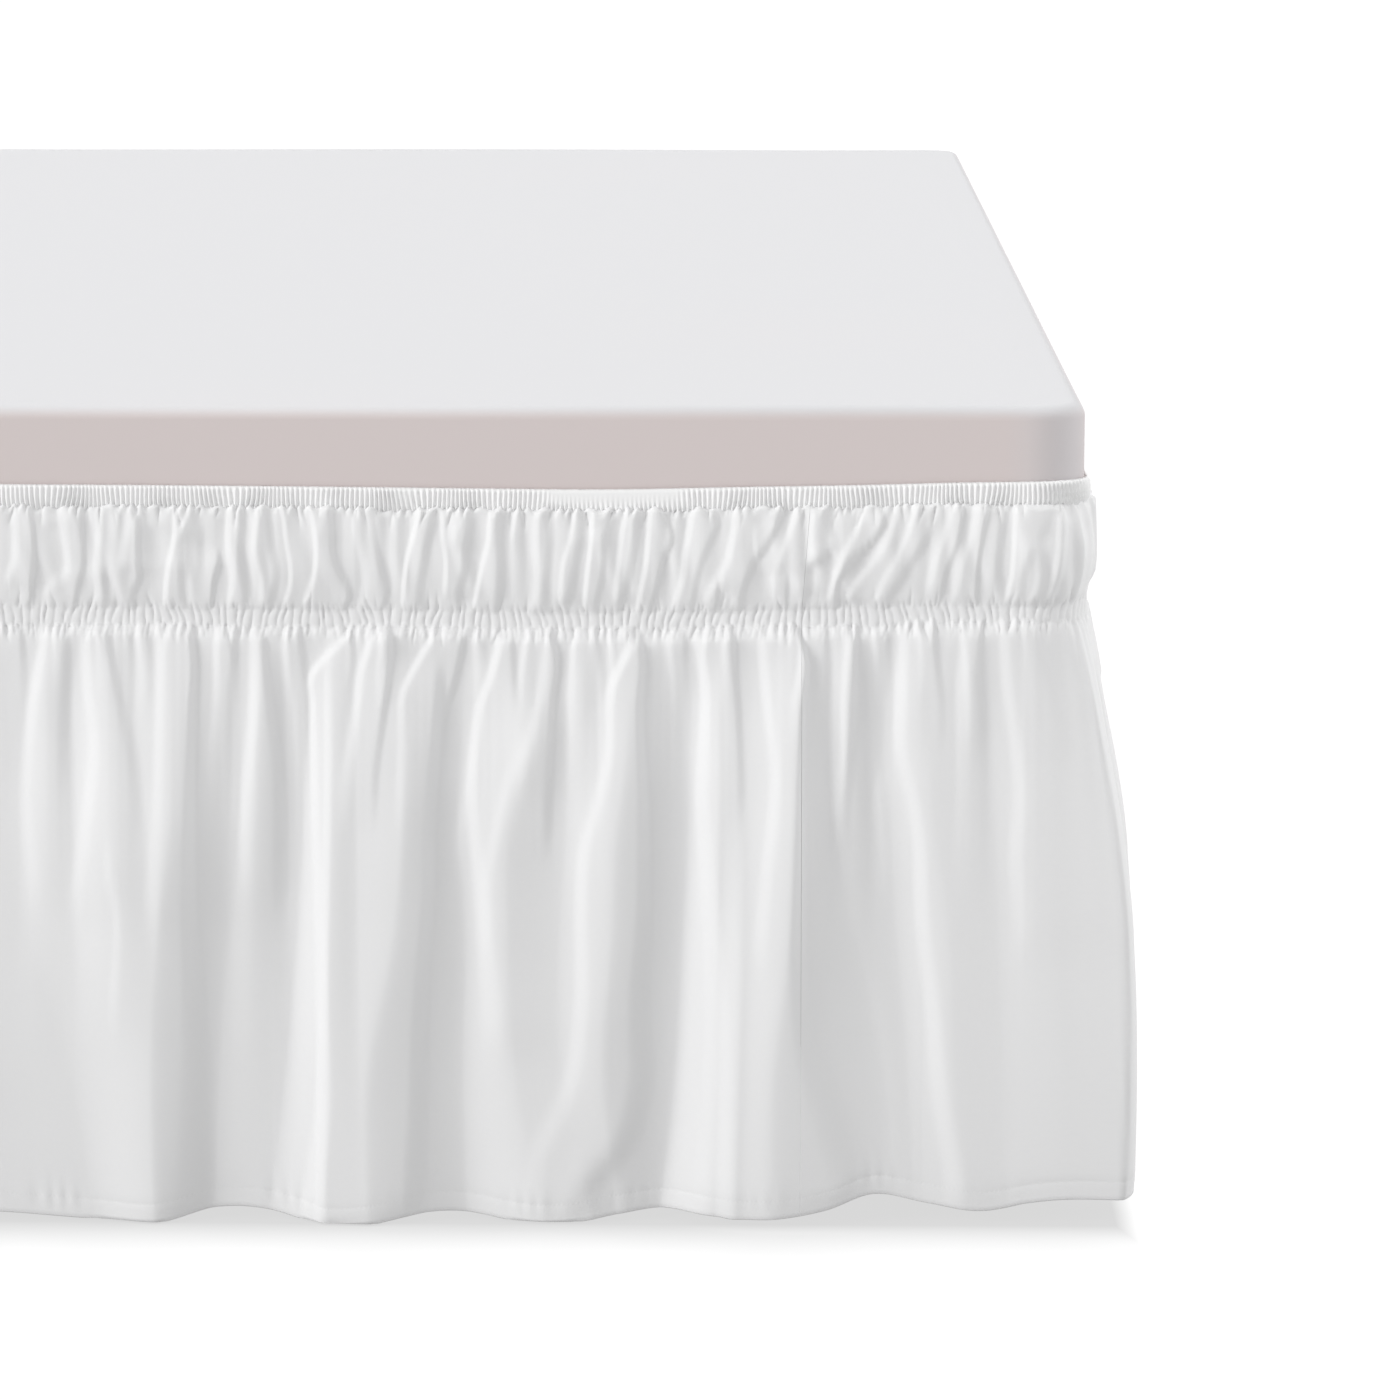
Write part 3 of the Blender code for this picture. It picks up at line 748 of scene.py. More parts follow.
@dataclass(frozen=True)
class CreaseRule:
    """Uneven creases side by side that start at one height, a pair for each pitch.

    A pair is a step out and a step in. The fields are in metres. Of the numbers, the step, the
    width, the wiggle and the ease are in millimetres, and the others are shares.
    """

    WANDER = 0.25
    ASIDE = (0.25, 0.06)
    SHORTENING = 1.5
    LEAN = 0.14
    LEAN_PACE = 0.41
    OWN_LEAN = 0.08
    WIGGLE = 1.6
    PARTS = (0.0, 0.35, 0.7, 1.0)
    STEP = (1.8, 0.7)
    STEP_LEFT = 0.7
    WIDTH = 3.4
    DROP_FOR_WIDTH = 30
    EASE = 5
    PITCH_FOR_EASE = 4

    pitch: float
    top: float
    shortest: float
    longest: float

    def creases(self, start: float, end: float) -> list[Crease]:
        """Lay them out over a stretch of the skirt.

        Args:
            start: where the stretch starts, as a distance round the bed.
            end: where it ends.

        Returns:
            The creases.
        """
        count = round((end - start) / self.pitch)
        made = []
        for index in range(count):
            off = (end - start) * (index + 0.5 + self.WANDER * swing(index, 1)) / count
            middle = (BED.half_width - start - off) / MM
            for channel, sign in ((2, 1.0), (3, -1.0)):
                made.append(self.crease(index, channel, sign, middle))
        return made

    def crease(self, index: int, channel: int, sign: float, middle: float) -> Crease:
        """Make one crease.

        Args:
            index: which pair it is of.
            channel: which of the pair it is.
            sign: 1 where it steps out and -1 where it steps in.
            middle: the pair's place in from the bed's right side, in millimetres.

        Returns:
            The crease.
        """
        share = (0.5 + 0.5 * swing(index, channel)) ** self.SHORTENING
        drop = self.shortest + (self.longest - self.shortest) * share
        lean = self.LEAN * swing(index * self.LEAN_PACE, 4) + self.OWN_LEAN * swing(index, 5 + channel)
        start = middle + sign * self.pitch / MM * uneven(self.ASIDE, index, 6 + channel)
        line = tuple(
            (
                start + lean * drop / MM * part
                + self.WIGGLE * math.sin(3 * part + 2 * index + channel),
                (self.top - drop * part) / MM,
            )
            for part in self.PARTS
        )
        step = sign * uneven(self.STEP, index, 7 + channel)
        foot_width = self.WIDTH + drop / MM / self.DROP_FOR_WIDTH
        ease = self.EASE + self.pitch / MM / self.PITCH_FOR_EASE
        return Crease(line, step, step * self.STEP_LEFT, self.WIDTH, foot_width, ease)


@dataclass(frozen=True)
class Grooves:
    """Fine grooves side by side round the bed, each of which leans its own way at each height."""

    LATE = 1.2

    heights: tuple[float, ...]
    places: Points
    depths: Points
    sharp: float

    def rise(self, along: Points, height: Points) -> Points:
        """Return how far the grooves draw the cloth in, as numbers up to 0.

        Args:
            along: distances round the bed.
            height: a height for each.

        Returns:
            The relief at each point.
        """
        relief = np.zeros_like(along)
        heights = np.array(self.heights)
        for level in np.unique(height):
            if not heights[0] < level < heights[-1]:
                continue
            here = height == level
            row, share = between(level, heights)
            knots = np.maximum.accumulate(self.places[row] * (1 - share) + self.places[row + 1] * share)
            depths = self.depths[row] * (1 - share) + self.depths[row + 1] * share
            slot, s = between(along[here], knots)
            s = s**self.LATE
            puff = 1 - (4 * s * (1 - s)) ** self.sharp
            relief[here] = -puff * np.where(s < 0.5, depths[slot], depths[slot + 1])
        return relief


def groove_numbers(pitch: float) -> Points:
    """Return a number for each groove of a row round the bed."""
    return np.arange(round((BED.round + 2 * OVERLAP) / pitch))


@dataclass(frozen=True)
class Shirring:
    """How the waist is drawn in: grooves that zigzag between its rows of stitching.

    levels has a height, a share of the depth and a share of the zigzag in each row.
    """

    levels: tuple[tuple[float, float, float], ...] = (
        (0.3265, 0.0, 1.1), (0.3296, 1.0, 0.9), (0.3330, 0.7, 0.1), (0.3345, 0.9, 0.2),
        (0.3378, 1.0, -0.1), (0.3420, 1.0, -0.9), (0.3470, 0.0, -1.2),
    )
    pitch: float = 0.0045
    wander: float = 0.16
    wander_more: float = 0.10
    depth: float = 0.0012
    depth_share: tuple[float, float] = (0.75, 0.35)
    zigzag: float = 0.0021
    zigzags: Wave = Wave(0.21, 2.1, 0.053)
    zigzag_swing: float = 0.0006
    wobble: float = 0.00035
    sharp: float = 0.50

    def grooves(self) -> Grooves:
        """Return the grooves."""
        index = groove_numbers(self.pitch)
        wander = self.wander * swing(index, 1) + self.wander_more * swing(index * 1.7, 4)
        place = -OVERLAP + self.pitch * (index + wander)
        zigzag = self.zigzag * self.zigzags.at(index) + self.zigzag_swing * swing(index * 0.53, 2)
        places, depths = [], []
        for row, (_, share, side) in enumerate(self.levels):
            places.append(place + side * zigzag + self.wobble * swing(index, 6 + row))
            depths.append(self.depth * share * uneven(self.depth_share, index, 11 + 3 * row))
        heights = tuple(height for height, _, _ in self.levels)
        return Grooves(heights, np.array(places), np.array(depths), self.sharp)


@dataclass(frozen=True)
class Gathers:
    """The small notches that run from a gathered edge into the free cloth and soon fade.

    edge is the edge's height, way is 1 where they run up and -1 where they run down, depth is
    how deep the deepest are and reach how far the longest run. channel is which edge it is.
    """

    PITCH = 0.0066
    WANDER = 0.26
    LEAN = 0.0014
    LEAN_PACE = 0.31
    OWN_LEAN = 0.0008
    LENGTH = (0.55, 0.45)
    LEAST_LENGTH = 0.12
    DEPTH = (0.55, 0.6)
    SHARES = (-0.10, 0.0, 0.15, 0.35, 0.6, 1.0)
    SHARP = 0.42

    edge: float
    way: float
    depth: float
    reach: float
    channel: float

    def grooves(self) -> Grooves:
        """Return the notches."""
        index, channel = groove_numbers(self.PITCH), self.channel
        place = -OVERLAP + self.PITCH * (index + self.WANDER * swing(index, channel))
        lean = self.LEAN * swing(index * self.LEAN_PACE, channel + 1)
        lean += self.OWN_LEAN * swing(index, channel + 2)
        length = np.maximum(uneven(self.LENGTH, index, channel + 3), self.LEAST_LENGTH)
        size = np.clip(uneven(self.DEPTH, index, channel + 4), 0.0, 1.0)
        places = [place + lean * max(share, 0.0) * 2 for share in self.SHARES]
        depths = [self.depth * beside(share, length) * (share >= 0) * size for share in self.SHARES]
        heights = [self.edge + self.way * self.reach * share for share in self.SHARES]
        order = slice(None, None, int(self.way))
        return Grooves(
            tuple(heights[order]), np.array(places[order]), np.array(depths[order]), self.SHARP
        )


@dataclass(frozen=True)
class RunFolds:
    """The even-sized folds beyond the table, laid out as on the solids."""

    stretches: tuple[int, ...] = (17, 1, 10, 1, 17, 1, 7)
    rises: tuple[float, ...] = (0.030, 0.027, 0.024, 0.013, 0.0075, 0.006)
    crest_swing: float = 0.12
    rise_swing: float = 0.22
    left_reach: float = 0.42
    right_reach: float = 0.60
    reach_swing: float = 0.08
    narrowing: tuple[float, ...] = (0.40, 0.82, 1.0)
    wanders: tuple[float, ...] = (0.0120, 0.0105, 0.0084, 0.0036, 0.0, 0.0)
    table_end: float = 0.606
    table_room: float = 0.016

    def folds(self) -> list[Fold]:
        """Return the folds, with their crests as distances in from the bed's right side."""
        last = BED.round + BED.half_width - MM * LARGE_FOLDS[2].places[-1]
        ends = (
            BED.corner_crest, HALF - BED.corner_crest, HALF - SEAM, HALF + SEAM,
            HALF + BED.corner_crest, BED.round - BED.corner_crest, BED.round - SEAM, last,
        )
        made = []
        number = 0
        for runs, start, end in zip(self.stretches, ends, ends[1:]):
            pitch = (end - start) / runs
            for run in range(1, runs + 1):
                if end == last and run == runs:
                    continue
                if number:
                    loose = 0.0 if run == runs else 1.0
                    crest = start + pitch * (run + loose * self.crest_swing * swing(number, 1))
                    made.append(self.fold(number, crest, pitch, loose))
                number += 1
        return made

    def fold(self, number: int, crest: float, pitch: float, loose: float) -> Fold:
        """Make one fold.

        Args:
            number: which fold it is, in order round the bed.
            crest: its distance round the bed.
            pitch: the width that a fold has there.
            loose: 1 where its crest wanders, 0 where it stays.

        Returns:
            The fold.
        """
        size = uneven((1.0, self.rise_swing), number, 2)
        lean = self.reach_swing * swing(number, 3)
        crests = [
            BED.half_width - crest - loose * wander * swing(number, 4) for wander in self.wanders
        ]
        left, right = pitch * (self.left_reach + lean), pitch * (self.right_reach - lean)
        table = BED.round + BED.half_width - self.table_end
        if crest > table - right:
            crests = [place + self.table_room for place in crests]
            right = table + self.table_room - crest
        return Fold(
            tuple(crests[::-1]), tuple(rise * size for rise in self.rises[::-1]),
            tuple(left * share for share in self.narrowing),
            tuple(right * share for share in self.narrowing),
        )


# The rules for the creases beyond the tables: the heading's, and the skirt's long and short ones
HEADING_RULE = CreaseRule(0.0175, ELASTIC_FOOT, 0.040, 0.056)
SKIRT_RULES = (
    CreaseRule(0.0300, WAIST_FOOT - 0.002, 0.045, 0.260),
    CreaseRule(0.0170, WAIST_FOOT - 0.002, 0.010, 0.035),
)
GATHERS = (
    Gathers(ELASTIC_FOOT + 0.0004, -1.0, 0.0024, 0.0090, 21.0),
    Gathers(WAIST_TOP, 1.0, 0.0014, 0.0100, 31.0),
    Gathers(WAIST_FOOT, -1.0, 0.0022, 0.0080, 41.0),
)


class Drape:
    """Where every point of the skirt's cloth hangs, in metres, its waves and angles in radians."""

    # The heading, from where it comes out under the elastic down to the waist
    COMES_OUT = ELASTIC_FOOT - 0.0006
    TOP_STAND = CLEAR + 0.0004
    TOP_HOLD = 0.0007
    WAIST_HOLD = 0.0050
    TIP = 0.0030
    TIP_PLEAT = 0.0020
    TIP_BULGE = 0.35
    BULGE_EASE = 0.024
    SHOULDER = 0.0022
    SHOULDER_TURN = 0.0014
    SHOULDER_EASE = 0.012
    SHOULDER_DROP = 0.020
    SHOULDER_HIGH = 0.70
    SHOULDER_SHARE = (0.65, 0.35)
    BILLOW = 0.0005
    HEADING_SQUARE = 0.15

    # The waves of the edges, the shoulder, the bulge and the hem
    TOP_RUFFLE = 0.0010
    TOP_RUFFLES = Wave(950, 2.3, 210)
    WAIST_RUFFLE = 0.0015
    WAIST_RUFFLES = Wave(900, 2.1, 190)
    SHOULDERS = Wave(410, 2, 83)
    BILLOWS = Wave(270, 1.9, 61)
    BILLOW_CLIMB = 50
    BILLOW_SWAY = (1.2, 160, 90)
    PUCKERS = Wave(430.0, 4.5, 97.0)
    PUCKER_CLIMB = 120

    # The cloth below the waist
    TOOTH = 0.0036
    TOOTH_PLEAT = 0.0025
    FREE_DROP = 0.0100
    SPREAD_DROP = 0.040
    CORNER_DROP = 0.105
    HELD = 0.85
    PUFF = 0.0005
    PUFF_RISE = 0.0055
    PUFF_DROP = 0.050
    PLEAT_RISE = 0.0026
    PLEAT_PROUD = 0.20
    PLEAT_DROP = 0.020
    CORNER_CALM = 0.95
    CALM_DROP = 0.060
    FOOT_REACH = 0.032
    SIDE_REACH = 0.130
    FOLD_ROOM = 0.045
    NEXT_FOLDS = (-0.044, -0.022, 0.022, 0.044)
    SQUARE_DROP = 0.055
    TIP_ANGLE = math.radians(47)
    TIP_TURN = math.radians(4)
    TIP_FADE = math.radians(48)

    # The hem and the seam
    PUCKER_DEPTH = 0.00042
    PUCKER_REACH = 0.0050
    PUCKER_SIZE = (0.30, 0.35, 43.0)
    GROOVE_REACH = 0.0012
    GROOVE_SIZE = (0.35, 0.25, 61.0)
    HEM_LIFT = 0.0040
    HEM_SAG = 0.0034
    SEAM_LEAN = 0.0042
    SEAM_REACH = 0.020

    # Where the rules take over from the tables, in from the right side, and by how much they lap
    TABLE_LEFT = 0.615
    TABLE_RIGHT = -0.012
    LAP = 0.05

    def __init__(self) -> None:
        """Lay out the folds, the creases and the gathers."""
        stretches = (
            (-SEAM - self.LAP, BED.half_width - self.TABLE_LEFT),
            (BED.half_width - self.TABLE_RIGHT, BED.round - SEAM + self.LAP),
        )
        heading, skirt = heading_creases(), list(SKIRT_CREASES)
        for start, end in stretches:
            heading += HEADING_RULE.creases(start, end)
            for rule in SKIRT_RULES:
                skirt += rule.creases(start, end)
        self.folds = [*FOOT_FOLDS, *RunFolds().folds()]
        self.large = table_folds()
        self.heading = split_creases(heading, reaching=394, fades=(0.004, 0.009), fade_below=0.007)
        self.skirt = split_creases(skirt, reaching=323, fades=(0.006, 0.024), fade_below=0.030)
        self.drawn_in = [part.grooves() for part in (Shirring(), *GATHERS)]

    def fold_rise(self, along: Points, height: Points) -> Points:
        """Return how far the skirt's folds lift the cloth.

        Args:
            along: distances round the bed.
            height: a height for each.

        Returns:
            The lift at each point.
        """
        total = self.large.rise(along, height)
        for fold in self.folds:
            middle = BED.half_width - fold.crest[0]
            widest = max(*fold.left, *fold.right) + self.FOLD_ROOM
            gap = np.mod(along - middle + HALF, BED.round) - HALF
            near = np.flatnonzero(np.abs(gap) < widest)
            if not len(near):
                continue
            at = height[near]
            crest = BED.half_width - through(at, LEVELS, fold.crest[::-1])
            off = np.mod(along[near] - crest + HALF, BED.round) - HALF
            rise = np.maximum(through(at, LEVELS, fold.rise[::-1]), 0.0)
            for side, reaches, edge in (
                (off <= 0, fold.left, fold.left_edge), (off > 0, fold.right, fold.right_edge)
            ):
                share = np.abs(off) / through(at, REACH_LEVELS, reaches[::-1])
                inside = side & (share < 1)
                bend, foot = edge.value
                total[near[inside]] += rise[inside] * (1 - share[inside] ** bend) ** foot
        return total

    def stand(self, along: Points, height: Points) -> Points:
        """Return how far the cloth stands off the mattress side.

        Args:
            along: distances round the bed.
            height: a height for each, as on a level skirt.

        Returns:
            The distances.
        """
        stand = np.full_like(along, WAIST_STAND)
        above = height > WAIST_TOP - self.TOOTH
        stand[above] = self.heading_stand(along[above], height[above])
        below = height < WAIST_FOOT + self.TOOTH
        stand[below] += self.hanging(along[below], height[below])
        for grooves in self.drawn_in:
            stand += grooves.rise(along, height)
        return stand + self.puckers(along, height)

    def heading_stand(self, t: Points, h: Points) -> Points:
        """Return how far the heading stands off the mattress side.

        Args:
            t: distances round the bed.
            h: a height for each.

        Returns:
            The distances.
        """
        share = portion(HEADING_TOP - h, HEADING_TOP - WAIST_TOP)
        middle = np.sin(math.pi * share)
        pleats = sum(part.rise(t, h) for part in self.heading)
        tip = portion(pleats, self.TIP_PLEAT)
        ruffle = self.TOP_RUFFLE * self.TOP_RUFFLES.at(t)
        from_top = np.maximum(self.COMES_OUT + self.TIP * tip + ruffle - h, 0.0)
        from_waist = np.maximum(h - WAIST_TOP + self.TOOTH * (tip - 0.5), 0.0)
        held = (1 - fading(from_top, self.TOP_HOLD)) * (1 - fading(from_waist, self.WAIST_HOLD))
        eased = smooth((h - WAIST_TOP) / self.BULGE_EASE)
        bulge = HEADING_BULGE * (middle * eased + self.TIP_BULGE * held * tip)
        shoulder = self.SHOULDER * (1 - fading(from_top, self.SHOULDER_TURN)) * (
            (1 - self.SHOULDER_HIGH) * smooth((h - WAIST_TOP) / self.SHOULDER_EASE)
            + self.SHOULDER_HIGH * fading(from_top, self.SHOULDER_DROP)
        )
        usual, more = self.SHOULDER_SHARE
        bulge += shoulder * (usual + more * self.SHOULDERS.at(t))
        sway, pace, climb_pace = self.BILLOW_SWAY
        turn = self.BILLOW_CLIMB * h + sway * np.sin(pace * t + climb_pace * h)
        billow = self.BILLOW * middle * self.BILLOWS.at(t, turn)
        top = self.TOP_STAND + (WAIST_STAND - self.TOP_STAND) * share
        square = self.HEADING_SQUARE * middle * self.squareness(t, top, self.TIP_ANGLE)
        return top + bulge + billow + held * pleats + square

    def hanging(self, t: Points, h: Points) -> Points:
        """Return how much further than the waist the hanging cloth stands off.

        Args:
            t: distances round the bed.
            h: a height for each, none much above the waist's foot.

        Returns:
            The distances.
        """
        pleats = sum(part.rise(t, h) for part in self.skirt)
        ruffle = self.WAIST_RUFFLE * self.WAIST_RUFFLES.at(t, 1)
        tooth = self.TOOTH * (portion(pleats, self.TOOTH_PLEAT) - 0.5) + ruffle
        drop = np.maximum(WAIST_FOOT + tooth - h, 0.0)
        down = portion(WAIST_FOOT - h, WAIST_FOOT - HEM)
        on_side = BED.turned(t) > math.pi / 4
        reaches = [BED.at_corner(t, reach) for reach in (self.SIDE_REACH, self.FOOT_REACH)]
        near_corner = np.where(on_side, *reaches)
        grip = self.HELD + (1 - self.HELD) * near_corner
        freed = fading(drop, self.FREE_DROP + self.CORNER_DROP * near_corner)
        freed = 1 - grip * freed - (1 - grip) * (drop <= 0)
        slow = 1 - fading(drop, self.SPREAD_DROP + self.CORNER_DROP * near_corner)
        puff = self.PUFF * (1 - fading(drop, self.PUFF_RISE)) * fading(drop, self.PUFF_DROP)
        near = pleats * (1 - fading(drop, self.PLEAT_RISE))
        near *= 1 + self.PLEAT_PROUD * fading(drop, self.PLEAT_DROP)
        near *= 1 - self.CORNER_CALM * near_corner * fading(drop, self.CALM_DROP)
        rise = self.fold_rise(t, h)
        usual = sum(self.fold_rise(t + off, h) for off in self.NEXT_FOLDS) / len(self.NEXT_FOLDS)
        folds = np.maximum(freed * (rise - usual) + slow * usual, CLEAR - WAIST_STAND)
        hung = (HEM_STAND - WAIST_STAND) * down + puff + near + folds
        tip = self.TIP_ANGLE + self.TIP_TURN * np.sin(math.pi * down)
        square = self.squareness(t, hung + WAIST_STAND, tip)
        return hung + square * (1 - fading(drop, self.SQUARE_DROP))

    def squareness(self, along: Points, stand: Points, tip: Points | float) -> Points:
        """Return how much further out the cloth hangs at the corners, which it doesn't follow round.

        Args:
            along: distances round the bed.
            stand: how far the cloth would stand off there.
            tip: how far round the corner the cloth hangs straight, as an angle.

        Returns:
            The distances, 0 away from the corners.
        """
        angle = BED.turned(along)
        straight = (BED.corner + stand) * (1 / np.cos(np.minimum(angle, tip)) - 1)
        return straight * (1 - smooth((angle - tip) / self.TIP_FADE))

    def puckers(self, along: Points, height: Points) -> Points:
        """Return the small puckers and the groove along the hem's stitching."""
        over = height - HEM - HEM_DEPTH
        wave = self.PUCKERS.at(along, over * self.PUCKER_CLIMB) * swaying(self.PUCKER_SIZE, along)
        groove = swaying(self.GROOVE_SIZE, along) * beside(over, self.GROOVE_REACH)
        return self.PUCKER_DEPTH * (beside(over, self.PUCKER_REACH) * wave - groove)

    def lift(self, along: Points, height: Points, stand: Points) -> Points:
        """Return how much higher the cloth hangs than on a level skirt.

        Args:
            along: distances round the bed.
            height: a height for each, as on a level skirt.
            stand: how far the cloth stands off there.

        Returns:
            The difference in height.
        """
        seen = from_right(along)
        low = np.clip(1 - height / WAIST_FOOT, 0.0, 1.0) ** 2
        slack = 1 - portion(stand, HEM_STAND + RunFolds.rises[0])
        hem = (hanging_line(seen, HEM_LINE) - self.HEM_SAG) * lines_hold(seen) + self.HEM_LIFT * slack
        return np.maximum(top_lift(along) + low * hem, HEM_CLEAR - height)

    def points(self, along: Points, height: Points, tuck: Points) -> Points:
        """Find points of the cloth.

        Args:
            along: distances round the bed.
            height: a height for each, as on a level skirt.
            tuck: how far each is turned in behind the cloth's face.

        Returns:
            The points, one row of x, y and z each.
        """
        up = portion(height - WAIST_TOP, ELASTIC_FOOT - WAIST_TOP)
        along = along + self.SEAM_LEAN * up * beside(along - SEAM, self.SEAM_REACH)
        stand = self.stand(along, height)
        side, out = BED.place(along)
        flat = side + out * np.maximum(stand - tuck, CLEAR)[:, None]
        return np.column_stack((flat, height + self.lift(along, height, stand)))


def top_lift(along: Points) -> Points:
    """Return how much higher the elastic runs than its usual line: it rides up at the corners."""
    seen = from_right(along)
    usual = CORNER_LIFT * BED.at_corner(along, CORNER_LIFT_REACH) + swaying(TOP_SWAY, along)
    return usual + (hanging_line(seen, TOP_LINE) - usual) * lines_hold(seen)


# ---------------------------------------------------------------------------- materials


class Value:
    """A number that varies over a surface: a node's output, with arithmetic on it."""

    def __init__(self, bench: "Bench", socket: bpy.types.NodeSocket) -> None:
        """Wrap a socket of one of the bench's nodes."""
        self.bench = bench
        self.socket = socket

    def maths(self, operation: str, first: Any, second: Any = 0.0) -> "Value":
        """Add a Math node and return its result."""
        return self.bench.node("ShaderNodeMath", {"operation": operation}, {0: first, 1: second})

    def __add__(self, other: Any) -> "Value":
        """Return the sum."""
        return self.maths("ADD", self, other)

    def __sub__(self, other: Any) -> "Value":
        """Return the difference."""
        return self.maths("SUBTRACT", self, other)

    def __mul__(self, other: Any) -> "Value":
        """Return the product."""
        return self.maths("MULTIPLY", self, other)

    __radd__ = __add__

    def sine(self) -> "Value":
        """Return the sine."""
        return self.maths("SINE", self)

    def waves(self, length: float) -> "Value":
        """Return sine waves of a length along this."""
        return (self * (2 * math.pi / length)).sine()

    def distance(self) -> "Value":
        """Return this without its sign."""
        return self.maths("ABSOLUTE", self)

    def highest(self, other: Any) -> "Value":
        """Return the larger of two."""
        return self.maths("MAXIMUM", self, other)

    def lowest(self, other: Any) -> "Value":
        """Return the smaller of two."""
        return self.maths("MINIMUM", self, other)

    def share(self, whole: float) -> "Value":
        """Return its share of a whole, held between 0 and 1."""
        return (self * (1 / whole)).highest(0.0).lowest(1.0)

    def below(self, limit: float) -> "Value":
        """Return 1 where this is less than a limit."""
        return self.maths("LESS_THAN", self, limit)


class Bench:
    """A node tree being built."""

    def __init__(self, tree: bpy.types.NodeTree) -> None:
        """Start on an emptied tree."""
        self.tree = tree
        tree.nodes.clear()

    def node(
        self, kind: str, settings: dict[str, Any], inputs: dict[Any, Any], output: Any = 0
    ) -> Value:
        """Add a node.

        Args:
            kind: the node's type.
            settings: its properties, set first.
            inputs: a value or a Value for each socket, by name or number.
            output: the output wanted.

        Returns:
            That output.
        """
        made = self.tree.nodes.new(kind)
        for name, setting in settings.items():
            setattr(made, name, setting)
        for name, given in inputs.items():
            if isinstance(given, Value):
                self.tree.links.new(given.socket, made.inputs[name])
            else:
                made.inputs[name].default_value = given
        return Value(self, made.outputs[output]) if len(made.outputs) else Value(self, None)

    def across(self, vector: Value) -> tuple[Value, Value, Value]:
        """Return a vector's three numbers."""
        parts = self.tree.nodes.new("ShaderNodeSeparateXYZ")
        self.tree.links.new(vector.socket, parts.inputs[0])
        return tuple(Value(self, output) for output in parts.outputs)

    def noise(self, vector: Value, scale: float, detail: float = 2.0) -> Value:
        """Return a noise from 0 to 1."""
        return self.node(
            "ShaderNodeTexNoise", {"noise_dimensions": "3D"},
            {"Vector": vector, "Scale": scale, "Detail": detail, "Roughness": 0.55},
        )

    def place(self) -> Value:
        """Return where each point is, in the piece's own frame."""
        return self.node("ShaderNodeTexCoord", {}, {}, "Object")

    def chart(self) -> Value:
        """Return where each point is on the cloth's own map."""
        return self.node("ShaderNodeUVMap", {"uv_map": "cloth"}, {})

    def blend(self, share: Value, first: Any, second: Any) -> Value:
        """Return a colour between two, by a share of the second."""
        start, end = (tone if isinstance(tone, Value) else (*tone, 1.0) for tone in (first, second))
        mixed = {"Factor": share, 6: start, 7: end}
        return self.node("ShaderNodeMix", {"data_type": "RGBA"}, mixed, 2)

    def bump(self, height: Value, distance: float, strength: float = 1.0) -> Value:
        """Return the normal of a relief."""
        return self.node(
            "ShaderNodeBump", {}, {"Height": height, "Distance": distance, "Strength": strength}
        )


def principled(
    name: str, build: Callable[[Bench], dict[str, Value]], constants: dict[str, Any]
) -> bpy.types.Material:
    """Make a material on a Principled shader.

    Args:
        name: the material's name.
        build: makes the shader's varying inputs on a Bench, by socket name.
        constants: what is the same all over, by socket name.

    Returns:
        The material.
    """
    made = bpy.data.materials.new(name)
    made.use_nodes = True
    bench = Bench(made.node_tree)
    shader = bench.node("ShaderNodeBsdfPrincipled", {}, {**constants, **build(bench)})
    bench.node("ShaderNodeOutputMaterial", {}, {"Surface": shader})
    return made


@dataclass(frozen=True)
class Finish:
    """A finish on a Principled shader: how rough it is, how that varies, and its relief.

    depth and strength are the relief's. SHINE is what is the same all over, by socket name.
    """

    SHINE = {}

    name: str
    rough: float
    rough_swing: float
    depth: float
    strength: float

    def surface(self, bench: Bench) -> tuple[Value, Value, Value]:
        """Return the colour, what the roughness goes by, and the relief's height."""
        raise NotImplementedError

    def build(self, bench: Bench) -> dict[str, Value]:
        """Return the shader's varying inputs."""
        colour, grain, relief = self.surface(bench)
        return {
            "Base Color": colour,
            "Roughness": grain * self.rough_swing + self.rough,
            "Normal": bench.bump(relief, self.depth, self.strength),
        }

    def material(self) -> bpy.types.Material:
        """Return the material."""
        return principled(self.name, self.build, self.SHINE)


@dataclass(frozen=True)
class Microfibre(Finish):
    """White brushed microfibre, on the cloth's own map in metres."""

    SHINE = {"Sheen Weight": 0.18, "Sheen Roughness": 0.45, "Specular IOR Level": 0.35}

    name: str = "white_microfibre"
    rough: float = 0.62
    rough_swing: float = 0.12
    depth: float = 0.00010
    strength: float = 0.5
    light: tuple[float, float, float] = (0.870, 0.870, 0.872)
    deep: tuple[float, float, float] = (0.835, 0.835, 0.840)
    thread: float = 0.00042
    nap: float = 420.0
    patches: float = 14.0
    stitches: tuple[float, ...] = (HEM + HEM_DEPTH, WAIST_TOP, WAIST_FOOT)
    stitch_pitch: float = 0.0026
    stitch_half: float = 0.00045
    stitch_more: float = 0.35
    nap_share: float = 0.5
    weave_share: float = 0.25
    seam_share: float = 0.8
    nap_tone: float = 0.6

    def surface(self, bench: Bench) -> tuple[Value, Value, Value]:
        """Return the colour, the nap, and the relief of nap, thread and stitching."""
        chart = bench.chart()
        u, v, _ = bench.across(chart)
        nap = bench.noise(chart, self.nap, detail=3.0)
        patches = bench.noise(chart, self.patches, detail=2.0)
        weave = u.waves(self.thread) * v.waves(self.thread)
        dash = u.waves(self.stitch_pitch) + self.stitch_more
        seams = 0.0
        for height in self.stitches:
            seams = (v - height).distance().below(self.stitch_half) + seams
        tone = nap * self.nap_tone + patches * (1 - self.nap_tone)
        relief = nap * self.nap_share + weave * self.weave_share + seams * dash * self.seam_share
        return bench.blend(tone, self.deep, self.light), nap, relief


